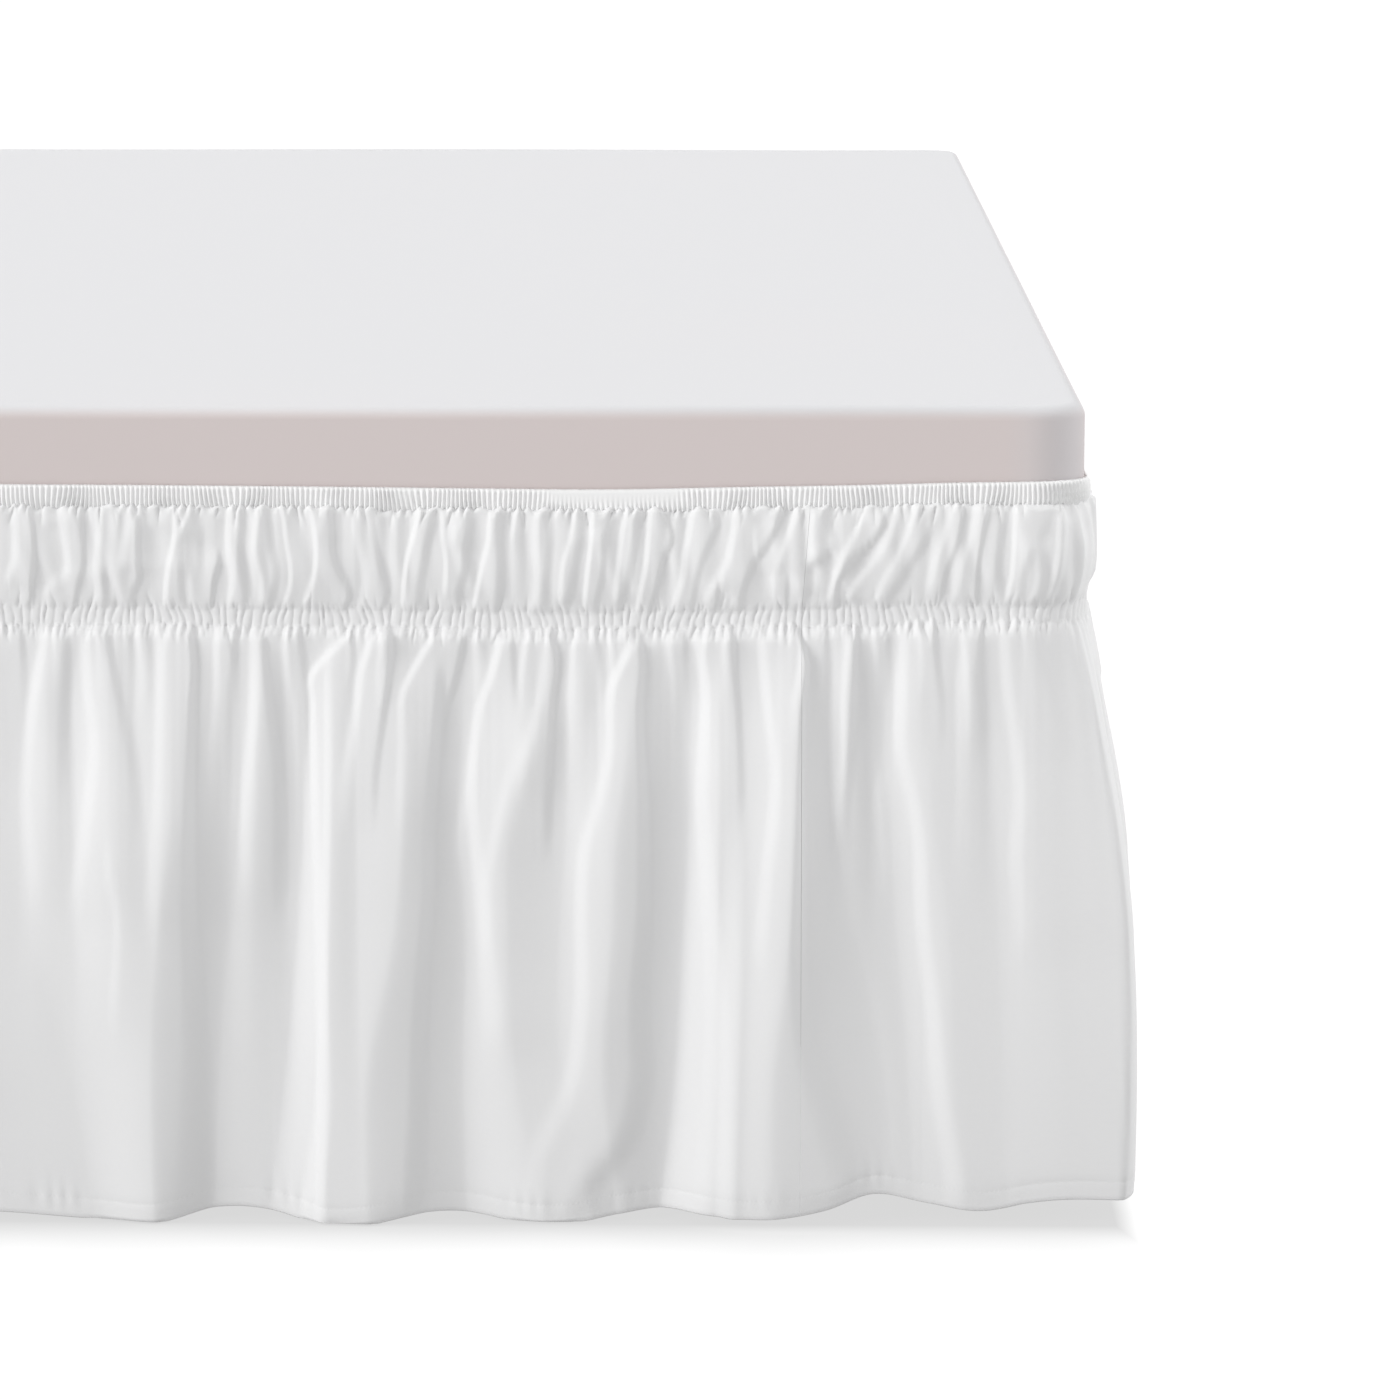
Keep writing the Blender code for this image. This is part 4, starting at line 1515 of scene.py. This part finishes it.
@dataclass(frozen=True)
class RibbedBand(Finish):
    """The elastic's white casing, with a fine nap."""

    SHINE = {"Sheen Weight": 0.15, "Specular IOR Level": 0.35}

    name: str = "white_casing"
    rough: float = 0.60
    rough_swing: float = 0.10
    depth: float = 0.00008
    strength: float = 0.5
    light: tuple[float, float, float] = (0.955, 0.955, 0.953)
    deep: tuple[float, float, float] = (0.905, 0.905, 0.907)
    nap: float = 600.0

    def surface(self, bench: Bench) -> tuple[Value, Value, Value]:
        """Return the colour, the nap, and the nap as relief."""
        nap = bench.noise(bench.chart(), self.nap, detail=3.0)
        return bench.blend(nap, self.deep, self.light), nap, nap


@dataclass(frozen=True)
class FittedCotton(Finish):
    """Smooth cotton, cool white on top of the mattress and warm grey down its sides, with painted light
    at the sides' rounded corners: a cooler grey there.
    """

    SHINE = {"Sheen Weight": 0.10, "Specular IOR Level": 0.30}

    name: str = "fitted_cotton"
    rough: float = 0.74
    rough_swing: float = 0.08
    depth: float = 0.00008
    strength: float = 0.4
    top: tuple[float, float, float] = (0.607, 0.607, 0.620)
    side: tuple[float, float, float] = (0.690, 0.618, 0.608)
    # Painted light, for how the light falls on the rounded corners: the cooler grey of the sides there,
    # how far short of the bed's ends it starts, and how far it takes to fade in
    corner: tuple[float, float, float] = (0.640, 0.618, 0.632)
    painted_corner_from: float = 0.045
    painted_corner_fade: float = 0.040
    turn_depth: float = 0.0080
    turn_end: float = 0.001
    thread: float = 0.00045
    mottle: float = 6.0
    nap: float = 500.0
    nap_share: float = 0.6
    weave_share: float = 0.3

    def surface(self, bench: Bench) -> tuple[Value, Value, Value]:
        """Return the colour of top and sides with the painted light at the side corners, a soft mottle,
        and the relief of nap and thread.
        """
        place = bench.place()
        x, y, z = bench.across(place)
        top = MATTRESS_BOX[1].z
        share = bench.node("ShaderNodeMapRange", {"interpolation_type": "SMOOTHSTEP"}, {
            "Value": z, "From Min": top - self.turn_depth, "From Max": top - self.turn_end,
        })
        # Painted light: 1 on the sides at the rounded corners, where they take the cooler grey
        near_corner = 1.0
        for across, half in ((x, BED.half_width), (y, BED.half_length)):
            past = across.distance() - (half - self.painted_corner_from)
            near_corner = past.share(self.painted_corner_fade) * near_corner
        colour = bench.blend(share, bench.blend(near_corner, self.side, self.corner), self.top)
        mottle = bench.noise(place, self.mottle, detail=3.0)
        nap = bench.noise(place, self.nap, detail=2.0)
        weave = x.waves(self.thread) * (y + z).waves(self.thread)
        return colour, mottle, nap * self.nap_share + weave * self.weave_share


@dataclass(frozen=True)
class WovenCover(Finish):
    """The plain woven cover of the base."""

    SHINE = {"Specular IOR Level": 0.25}

    name: str = "woven_cover"
    rough: float = 0.84
    rough_swing: float = 0.08
    depth: float = 0.0003
    strength: float = 0.6
    light: tuple[float, float, float] = (0.54, 0.50, 0.48)
    deep: tuple[float, float, float] = (0.44, 0.40, 0.38)
    thread: float = 0.0011
    heather: float = 260.0

    def surface(self, bench: Bench) -> tuple[Value, Value, Value]:
        """Return the heathered colour, the heathering, and the relief of the threads."""
        place = bench.place()
        x, y, z = bench.across(place)
        weave = (x + y).waves(self.thread) * z.waves(self.thread)
        heather = bench.noise(place, self.heather, detail=3.0)
        return bench.blend(heather, self.deep, self.light), heather, weave * 0.5 + heather * 0.5


@dataclass(frozen=True)
class OiledWood(Finish):
    """The legs' oiled wood, its grain up and down."""

    SHINE = {"Coat Weight": 0.15, "Coat Roughness": 0.35}

    name: str = "oiled_wood"
    rough: float = 0.40
    rough_swing: float = 0.15
    depth: float = 0.0002
    strength: float = 0.5
    light: tuple[float, float, float] = (0.36, 0.24, 0.15)
    deep: tuple[float, float, float] = (0.22, 0.14, 0.085)
    drawn_out: tuple[float, float, float] = (1.0, 1.0, 0.08)
    grain: float = 180.0
    pores: float = 900.0

    def surface(self, bench: Bench) -> tuple[Value, Value, Value]:
        """Return the colour, the grain, and the relief of grain and pores."""
        drawn = bench.node("ShaderNodeMapping", {}, {"Vector": bench.place(), "Scale": self.drawn_out})
        grain = bench.noise(drawn, self.grain, detail=5.0)
        pores = bench.noise(drawn, self.pores, detail=2.0)
        return bench.blend(grain, self.deep, self.light), grain, pores * 0.5 + grain * 0.5


@dataclass(frozen=True)
class PaleFloor:
    """The studio's plain white floor, lit by its own glow, with a shadow painted into that glow under the
    bed and, short and soft, at the cloth's foot.
    """

    SHINE = {"Roughness": 0.95, "Specular IOR Level": 0.0, "Emission Strength": 1.0}

    name: str = "pale_floor"
    colour: tuple[float, float, float] = (0.04, 0.04, 0.04)
    # Painted shadow: the glow's colour at its darkest, and in the open
    shaded: tuple[float, float, float] = (0.36, 0.36, 0.36)
    open: tuple[float, float, float] = (1.0, 1.0, 1.0)
    reach: float = 0.070
    open_reach: float = 0.55
    under: float = 0.023
    halo: float = 0.008
    halo_fade: float = 0.024

    def build(self, bench: Bench) -> dict[str, Value]:
        """Return the varying inputs: the floor's glow, with painted shadow under the bed and close to the
        cloth.
        """
        # Painted shadow from ambient occlusion near the cloth, held dark under the bed and faded out
        # beside it
        clear = bench.node("ShaderNodeAmbientOcclusion", {"samples": 16}, {
            "Color": (1, 1, 1, 1), "Distance": self.reach,
        }, "AO")
        x, y, _ = bench.across(bench.place())
        aside = x.distance() - BED.half_width
        beyond = aside.highest(y.distance() - BED.half_length) - self.under
        open_air = 0.5 + beyond.share(self.reach * self.open_reach) * 0.5
        share = clear.lowest(open_air).highest((aside - self.halo).share(self.halo_fade))
        return {"Emission Color": bench.blend(share, self.shaded, self.open)}

    def material(self) -> bpy.types.Material:
        """Return the material."""
        return principled(self.name, self.build, {"Base Color": (*self.colour, 1.0), **self.SHINE})


# ---------------------------------------------------------------------------- pieces


def linked(name: str, bm: bmesh.types.BMesh, finish: bpy.types.Material) -> bpy.types.Object:
    """Turn a bmesh into a smooth-shaded piece of the scene.

    Args:
        name: the piece's name.
        bm: its shape, freed here.
        finish: its material.

    Returns:
        The piece.
    """
    mesh = bpy.data.meshes.new(name)
    bm.to_mesh(mesh)
    bm.free()
    mesh.materials.append(finish)
    made = bpy.data.objects.new(name, mesh)
    bpy.context.scene.collection.objects.link(made)
    return made


@dataclass(frozen=True)
class Line:
    """One row or column of points of a cloth grid: its place, and how far it is tucked in."""

    place: float
    tuck: float = 0.0


def spread(start: float, end: float, step: float) -> list[Line]:
    """Return evenly spaced lines from start up to but without end."""
    count = max(1, round(abs(end - start) / step))
    return [Line(start + (end - start) * index / count) for index in range(count)]


def gridded(
    columns: Sequence[Line], rows: Sequence[Line], zones: Sequence[tuple[tuple[float, float], Any]]
) -> bmesh.types.BMesh:
    """Make a flat grid of columns by rows with finer columns in some zones.

    Args:
        columns: the grid's columns.
        rows: its rows.
        zones: for each halving of the columns, the two heights it is between and a test that
            takes a place along the cloth.

    Returns:
        The grid, its points at their column and row numbers.
    """
    bm = bmesh.new()
    wide, high = len(columns) - 1, len(rows) - 1
    bmesh.ops.create_grid(bm, x_segments=wide, y_segments=high, size=0.5)
    bmesh.ops.translate(bm, verts=bm.verts, vec=(0.5, 0.5, 0.0))
    bmesh.ops.scale(bm, verts=bm.verts, vec=(wide, high, 1.0))
    places = np.array([line.place for line in columns])
    heights = np.array([line.place for line in rows])
    for (low, high_end), test in zones:
        chosen = []
        for edge in bm.edges:
            first, second = (vert.co for vert in edge.verts)
            if round(first.y) != round(second.y):
                continue
            height = heights[round(first.y)]
            if low <= height <= high_end and test(places[int(min(first.x, second.x))]):
                chosen.append(edge)
        bmesh.ops.subdivide_edges(bm, edges=chosen, cuts=1, use_grid_fill=True)
    return bm


def charted(piece: bpy.types.Object, along: Points, height: Points) -> None:
    """Give a cloth its map: distances round the bed and heights, in metres.

    Args:
        piece: the cloth.
        along: a distance for each of its points.
        height: a height for each.
    """
    mesh = piece.data
    corners = np.zeros(len(mesh.loops), np.int32)
    mesh.loops.foreach_get("vertex_index", corners)
    chart = mesh.uv_layers.new(name="cloth")
    chart.data.foreach_set("uv", np.column_stack((along, height))[corners].astype(np.float32).ravel())


def read_points(mesh: bpy.types.Mesh) -> Points:
    """Return a mesh's points, one row each."""
    flat = np.zeros(len(mesh.vertices) * 3, np.float32)
    mesh.vertices.foreach_get("co", flat)
    return flat.reshape(-1, 3).astype(float)


def write_points(mesh: bpy.types.Mesh, points: Points) -> None:
    """Move a mesh's points."""
    mesh.vertices.foreach_set("co", points.astype(np.float32).ravel())
    mesh.update()
    mesh.shade_smooth()


@dataclass(frozen=True)
class SkirtPanel:
    """One width of the skirt's cloth, from one seam to the next.

    TURNED has the turned-up hem's rows, each with its height over the hem's edge and its tuck,
    HEM_ROWS the heights of those on its face, and BANDS the rows above them: from where to where
    and how far apart.
    """

    TURNED = ((HEM_DEPTH, 0.0012), (0.0060, 0.0014), (0.0006, 0.0011), (0.0, 0.0005))
    HEM_ROWS = (0.0006, 0.0030, 0.0070, 0.0095, 0.0104, 0.0110, 0.0116, 0.0126, 0.0160)
    BANDS = (
        (HEM + 0.022, 0.290, 0.0078), (0.290, 0.325, 0.0024), (0.325, 0.3500, 0.0013),
        (0.3500, 0.387, 0.0034), (0.387, Drape.COMES_OUT, 0.0016),
        (ELASTIC_FOOT, ELASTIC_FOOT + 0.0036, 0.0009),
    )
    FINER_FROM = 0.290
    FINEST_FROM = 0.3245
    LAST_ROW = Line(ELASTIC_FOOT + 0.0044, 0.0010)
    SEAM_TUCKS = (0.0060, 0.0006)
    SEAM_EDGE = 0.0002

    name: str
    start: float
    end: float
    flat_width: float
    fine_step: float = 0.00115
    coarse_step: float = 0.0074
    flat_drop: float = 0.418

    def columns(self) -> list[Line]:
        """Return the columns: close on the part with the table's folds, and a turned-in edge."""
        start, end = self.start + SEAM_GAP / 2, self.end - SEAM_GAP / 2
        stops = sorted({start, end, *(t for t in (DETAIL_START, DETAIL_END) if start < t < end)})
        lines = [*(Line(start, tuck) for tuck in self.SEAM_TUCKS), Line(start)]
        for near, far in zip(stops, stops[1:]):
            detailed = near >= DETAIL_START - MM and far <= DETAIL_END + MM
            step = self.fine_step if detailed else self.coarse_step
            lines += spread(near + self.SEAM_EDGE, far - self.SEAM_EDGE, step)
        lines += [Line(end - self.SEAM_EDGE), Line(end)]
        return [*lines, *(Line(end, tuck) for tuck in self.SEAM_TUCKS[::-1])]

    def rows(self) -> list[Line]:
        """Return the rows from the hem's turned-up edge to behind the elastic."""
        rows = [Line(HEM + rise, tuck) for rise, tuck in self.TURNED]
        rows += [Line(HEM + rise) for rise in self.HEM_ROWS]
        for band in self.BANDS:
            rows += spread(*band)
        return [*rows, self.LAST_ROW]

    def build(self, drape: Drape, finish: bpy.types.Material) -> bpy.types.Object:
        """Make the panel.

        Args:
            drape: where the cloth hangs.
            finish: the cloth's material.

        Returns:
            The piece.
        """
        columns, rows = self.columns(), self.rows()
        bm = gridded(columns, rows, [
            ((self.FINER_FROM, 1.0), lambda place: not DETAIL_START < place < DETAIL_END),
            ((self.FINEST_FROM, 1.0), lambda place: True),
        ])
        piece = linked(self.name, bm, finish)
        grid = read_points(piece.data)
        along = np.interp(grid[:, 0], range(len(columns)), [line.place for line in columns])
        height = np.interp(grid[:, 1], range(len(rows)), [line.place for line in rows])
        tuck = np.interp(grid[:, 0], range(len(columns)), [line.tuck for line in columns])
        tuck += np.interp(grid[:, 1], range(len(rows)), [line.tuck for line in rows])
        write_points(piece.data, drape.points(along, height, tuck))
        charted(piece, along, height)
        return piece

    def dress(self, piece: bpy.types.Object, node: str, holder: bpy.types.Object) -> None:
        """Attach the panel to the root body and hide the solid it stands for.

        Args:
            piece: the panel.
            node: the solid it stands for.
            holder: the elastic that holds it; not used.
        """
        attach(piece, BODY)
        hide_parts(node)


@dataclass(frozen=True)
class TopElastic:
    """The ribbed elastic in its casing, round the top of the skirt.

    WAVES are how often six waves go round the bed. LEAN, BOW and DRIFT are how much of each the
    ribs' lean, their bow and their drift along the band take.
    """

    PITCH = 0.0026
    WAVES = (31, 57, 83, 137, 211, 310)
    LEAN = (0.0, 0.07, 0.0, 0.08, 0.05, 0.0)
    BOW = (0.0, 0.0, 0.5, 0.0, 0.2, 0.0)
    BOWING = 22
    DRIFT = (1.3, 0.0, 0.0, 0.5, 0.0, 0.2)
    DEPTH_SWING = 0.35
    RAGGED = 0.0005
    RAGGED_OVER = 0.0020
    NOTCHES = 880
    NOTCH_SHARE = 1.8
    NOTCH_WANDER = 2.5

    name: str = "ribbed_elastic"
    steps: int = 3
    rib_depth: float = 0.00078
    lip: float = 0.0062
    stretched_from: float = 0.213
    stretched_to: float = 0.302
    stretched_fade: float = 0.012
    ribbed_foot: float = 0.0042
    ribbed_fade: float = 0.002
    flat_width: float = 0.0195

    def lines(self) -> list[tuple[float, float, float]]:
        """Return the rows: height, distance off the mattress side, and share of the ribs."""
        top, foot = ELASTIC_TOP, ELASTIC_FOOT
        return [
            (foot - 0.0005, 0.0015, 0.5), (foot + 0.0010, 0.0023, 1.1), (foot + 0.0032, 0.0029, 1.1),
            (foot + 0.0064, 0.0030, 1.0), (top - 0.0024, 0.0028, 0.9), (top - 0.0010, 0.0025, 0.2),
            (top, 0.0014, 0.0), (top - self.lip, 0.0008, 0.0),
        ]

    def build(self, finish: bpy.types.Material) -> bpy.types.Object:
        """Make the band, a closed ring of ribs."""
        steps = round(BED.round / self.PITCH) * self.steps
        lines = self.lines()
        columns = [Line(BED.round * step / steps - SEAM) for step in range(steps + 1)]
        bm = gridded(columns, [Line(line[0]) for line in lines], [
            ((0.0, 1.0), lambda place: DETAIL_START < place < DETAIL_END),
        ])
        piece = linked(self.name, bm, finish)
        grid = read_points(piece.data)
        row = np.rint(grid[:, 1]).astype(int)
        height, stand, share = (np.array([line[part] for line in lines])[row] for part in range(3))
        along = grid[:, 0] * BED.round / steps - SEAM
        charted(piece, along, height)
        write_points(piece.data, self.points(along, height, stand, share))
        self.close(piece.data)
        return piece

    def points(self, along: Points, height: Points, stand: Points, share: Points) -> Points:
        """Find points of the band.

        Args:
            along: distances round the bed.
            height: their heights on a level band.
            stand: how far they are off the mattress side without ribs.
            share: how much of a rib's depth they have.

        Returns:
            The points, one row of x, y and z each.
        """
        seen = from_right(along)
        inside = np.minimum(seen - self.stretched_from, self.stretched_to - seen)
        over = height - ELASTIC_FOOT
        ribbed = 1 - portion(self.ribbed_foot - over, self.ribbed_fade)
        stretched = portion(inside, self.stretched_fade) * ribbed
        turn = 2 * math.pi / BED.round
        waves = np.array([np.sin(turn * number * along + number) for number in self.WAVES])
        lean, bow, drift = (np.dot(shares, waves) for shares in (self.LEAN, self.BOW, self.DRIFT))
        bow *= over * (ELASTIC_TOP - ELASTIC_FOOT - over) * self.BOWING
        ribs = round(BED.round / self.PITCH)
        rib = np.cos(turn * ribs * (along + lean * over + bow) + drift)
        depth = self.rib_depth * share * (1 - stretched) * (1 + self.DEPTH_SWING * waves[4] * waves[2])
        side, out = BED.place(along)
        flat = side + out * (stand + depth * rib)[:, None]
        notch = np.sin(turn * self.NOTCHES * along + self.NOTCH_WANDER * waves[5])
        ragged = self.RAGGED * (1 - portion(over, self.RAGGED_OVER)) * (rib + self.NOTCH_SHARE * notch)
        return np.column_stack((flat, height + top_lift(along) - ragged))

    def close(self, mesh: bpy.types.Mesh) -> None:
        """Join the band's two ends."""
        bm = bmesh.new()
        bm.from_mesh(mesh)
        bmesh.ops.remove_doubles(bm, verts=bm.verts, dist=0.00002)
        bm.to_mesh(mesh)
        bm.free()
        mesh.shade_smooth()

    def dress(self, piece: bpy.types.Object, holder: bpy.types.Object) -> None:
        """Attach the band to the root body and hide its solid.

        Args:
            piece: the band.
            holder: the mattress in its sheet; not used.
        """
        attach(piece, BODY)
        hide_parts("top_elastic")


def climb(edge: bmesh.types.BMEdge) -> float:
    """Return how far up an edge goes."""
    return abs(edge.verts[0].co.z - edge.verts[1].co.z)


@dataclass(frozen=True)
class Mattress:
    """The mattress in its fitted sheet."""

    SQUARE = math.radians(60)

    name: str = "fitted_sheet_on_mattress"
    edge: float = 0.0085
    edge_steps: int = 7
    corner_steps: int = 12
    cut: float = 0.060
    within: float = 0.999
    dip: float = 0.0012
    dips: tuple[float, float] = (3.2, 2.4)

    def build(self, finish: bpy.types.Material) -> bpy.types.Object:
        """Make the mattress: a soft-edged box, cut finely enough to be a little uneven."""
        low, high = MATTRESS_BOX
        size = high - low
        bm = bmesh.new()
        stretch = Matrix.Translation((low + high) / 2) @ Matrix.Diagonal((*size, 1.0))
        bmesh.ops.create_cube(bm, size=1.0, matrix=stretch)
        upright = [edge for edge in bm.edges if climb(edge) > size.z / 2]
        self.soften(bm, upright, BED.corner, self.corner_steps)
        rims = [edge for edge in bm.edges if climb(edge) < CLEAR and edge.calc_face_angle() > self.SQUARE]
        self.soften(bm, rims, self.edge, self.edge_steps)
        for axis in (Vector((1, 0, 0)), Vector((0, 1, 0))):
            reach = BED.face_width if axis.x else BED.face_length
            cuts = round(2 * reach / self.cut)
            for index in range(cuts + 1):
                geom = [*bm.verts, *bm.edges, *bm.faces]
                where = axis * (reach * (2 * index / cuts - 1) * self.within)
                bmesh.ops.bisect_plane(bm, geom=geom, dist=LEAST_SPAN, plane_co=where, plane_no=axis)
        for vert in bm.verts:
            top = max(0.0, (vert.co.z - high.z + self.edge) / self.edge)
            waves = noise.noise(Vector((vert.co.x * self.dips[0], vert.co.y * self.dips[1], 3.0)))
            vert.co.z -= self.dip * top * (1 - waves)
        piece = linked(self.name, bm, finish)
        piece.data.shade_smooth()
        return piece

    def soften(self, bm: bmesh.types.BMesh, edges: list[Any], radius: float, steps: int) -> None:
        """Round some of the box's edges.

        Args:
            bm: the box.
            edges: the edges.
            radius: the radius of the rounding.
            steps: how many flats it is made of.
        """
        bmesh.ops.bevel(
            bm, geom=edges, offset=radius, segments=steps, profile=0.5, affect="EDGES", material=-1
        )

    def dress(self, piece: bpy.types.Object) -> None:
        """Attach the mattress to the root body and hide its solid."""
        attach(piece, BODY)
        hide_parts("mattress")


class Skirt:
    """The whole skirt: its elastic and the four panels that hang from it."""

    def __init__(self) -> None:
        """Name the panels and where their seams are."""
        self.elastic = TopElastic()
        self.panels = {
            "skirt_foot": SkirtPanel("foot_panel", -SEAM, SEAM, 1.55),
            "skirt_right": SkirtPanel("right_panel", SEAM, HALF - SEAM, 2.95),
            "skirt_head": SkirtPanel("head_panel", HALF - SEAM, HALF + SEAM, 1.55),
            "skirt_left": SkirtPanel("left_panel", HALF + SEAM, BED.round - SEAM, 2.95),
        }

    def build(self, holder: bpy.types.Object) -> None:
        """Make and dress the skirt on the mattress."""
        cloth = Microfibre().material()
        drape = Drape()
        band = self.elastic.build(RibbedBand().material())
        self.elastic.dress(band, holder)
        report(band)
        for node, panel in self.panels.items():
            piece = panel.build(drape, cloth)
            panel.dress(piece, node, band)
            report(piece)


class Underbed:
    """The base and the legs, which keep their solids."""

    def dress(self) -> None:
        """Give the solids their finishes."""
        cover, wood = WovenCover().material(), OiledWood().material()
        for name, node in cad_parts.items():
            if name == "bed_base" or name.startswith("leg_"):
                finish = cover if name == "bed_base" else wood
                for slot in node.material_slots:
                    slot.material = finish
                report(node)


@dataclass(frozen=True)
class Sun:
    """One soft studio light: where it comes from, how strong and how wide it is."""

    AWAY = 5

    name: str
    azimuth: float
    elevation: float
    strength: float
    width: float

    def build(self) -> None:
        """Make the light. Azimuth 0 is from the foot, and 90 from the bed's right."""
        data = bpy.data.lights.new(self.name, "SUN")
        data.energy = self.strength
        data.angle = math.radians(self.width)
        lamp = bpy.data.objects.new(self.name, data)
        turn, up = math.radians(self.azimuth), math.radians(self.elevation)
        towards = Vector((math.sin(turn) * math.cos(up), -math.cos(turn) * math.cos(up), math.sin(up)))
        lamp.location = towards * self.AWAY
        lamp.rotation_euler = towards.to_track_quat("Z", "Y").to_euler()
        bpy.context.scene.collection.objects.link(lamp)


@dataclass(frozen=True)
class Studio:
    """The floor, the lights, the white surround and the camera."""

    suns: tuple[Sun, ...] = (
        Sun("key", -63.0, 21.0, 1.50, 24.0),
        Sun("overhead", 180.0, 70.0, 1.05, 40.0),
        Sun("side", 99.0, 22.0, 0.92, 36.0),
    )
    fill: float = 0.68
    white: float = 1.05
    shade: float = 0.46
    shade_reach: float = 0.35
    floor_reach: float = 40.0
    camera_at: tuple[float, float, float] = (0.5904, -3.7246, 0.7785)
    camera_down: float = 10.196
    camera_left: float = 0.8696
    lens: float = 129.1
    sensor: float = 36.0
    clip: tuple[float, float] = (0.05, 200.0)

    def build(self) -> None:
        """Make the studio."""
        for sun in self.suns:
            sun.build()
        self.floor()
        self.floor_shade()
        self.surround()
        self.camera()

    def floor(self) -> None:
        """Make the floor."""
        bm = bmesh.new()
        bmesh.ops.create_grid(bm, x_segments=8, y_segments=8, size=self.floor_reach)
        floor = linked("studio_floor", bm, PaleFloor().material())
        floor.visible_diffuse = False

    def floor_shade(self) -> None:
        """Make what the cloth sees of the floor near it: a dim card that nothing else sees."""
        dim = bpy.data.materials.new("floor_shade")
        dim.use_nodes = True
        bench = Bench(dim.node_tree)
        glow = bench.node("ShaderNodeEmission", {}, {"Color": (1, 1, 1, 1), "Strength": self.shade})
        bench.node("ShaderNodeOutputMaterial", {}, {"Surface": glow})
        bm = bmesh.new()
        reach = Vector((BED.half_width + self.shade_reach, BED.half_length + self.shade_reach, 1.0))
        bmesh.ops.create_grid(bm, x_segments=1, y_segments=1, size=1.0)
        bmesh.ops.scale(bm, verts=bm.verts, vec=reach)
        bmesh.ops.translate(bm, verts=bm.verts, vec=(0.0, 0.0, -CLEAR))
        card = linked("floor_shade", bm, dim)
        for ray in ("camera", "shadow", "glossy", "transmission"):
            setattr(card, f"visible_{ray}", False)

    def surround(self) -> None:
        """Make the white surround, which lights the bed less brightly than it looks."""
        world = bpy.data.worlds.new("studio_surround")
        bpy.context.scene.world = world
        world.use_nodes = True
        bench = Bench(world.node_tree)
        seen = bench.node("ShaderNodeLightPath", {}, {}, "Is Camera Ray")
        fill, white = (
            bench.node("ShaderNodeBackground", {}, {"Color": (1, 1, 1, 1), "Strength": strength})
            for strength in (self.fill, self.white)
        )
        both = bench.node("ShaderNodeMixShader", {}, {0: seen, 1: fill, 2: white})
        bench.node("ShaderNodeOutputWorld", {}, {"Surface": both})

    def camera(self) -> None:
        """Make the camera."""
        data = bpy.data.cameras.new("camera")
        data.sensor_width = self.sensor
        data.lens = self.lens
        data.clip_start, data.clip_end = self.clip
        camera = bpy.data.objects.new("camera", data)
        camera.location = self.camera_at
        camera.rotation_euler = (math.radians(90 - self.camera_down), 0.0, math.radians(self.camera_left))
        bpy.context.scene.collection.objects.link(camera)
        bpy.context.scene.camera = camera
        bpy.context.scene.view_settings.view_transform = "Standard"
        bpy.context.scene.view_settings.look = "None"


def report(piece: bpy.types.Object) -> None:
    """Log a finished piece."""
    triangles = sum(len(face.vertices) - 2 for face in piece.data.polygons)
    LOG.info("%s: %d triangles", piece.name, triangles)


def main() -> None:
    """Build the studio, the mattress, the skirt and the finishes of what is under the bed."""
    logging.basicConfig(level=logging.INFO, format="%(name)s: %(message)s")
    Studio().build()
    mattress = Mattress()
    bed = mattress.build(FittedCotton().material())
    mattress.dress(bed)
    report(bed)
    Skirt().build(bed)
    Underbed().dress()


if __name__ == "__main__":
    main()
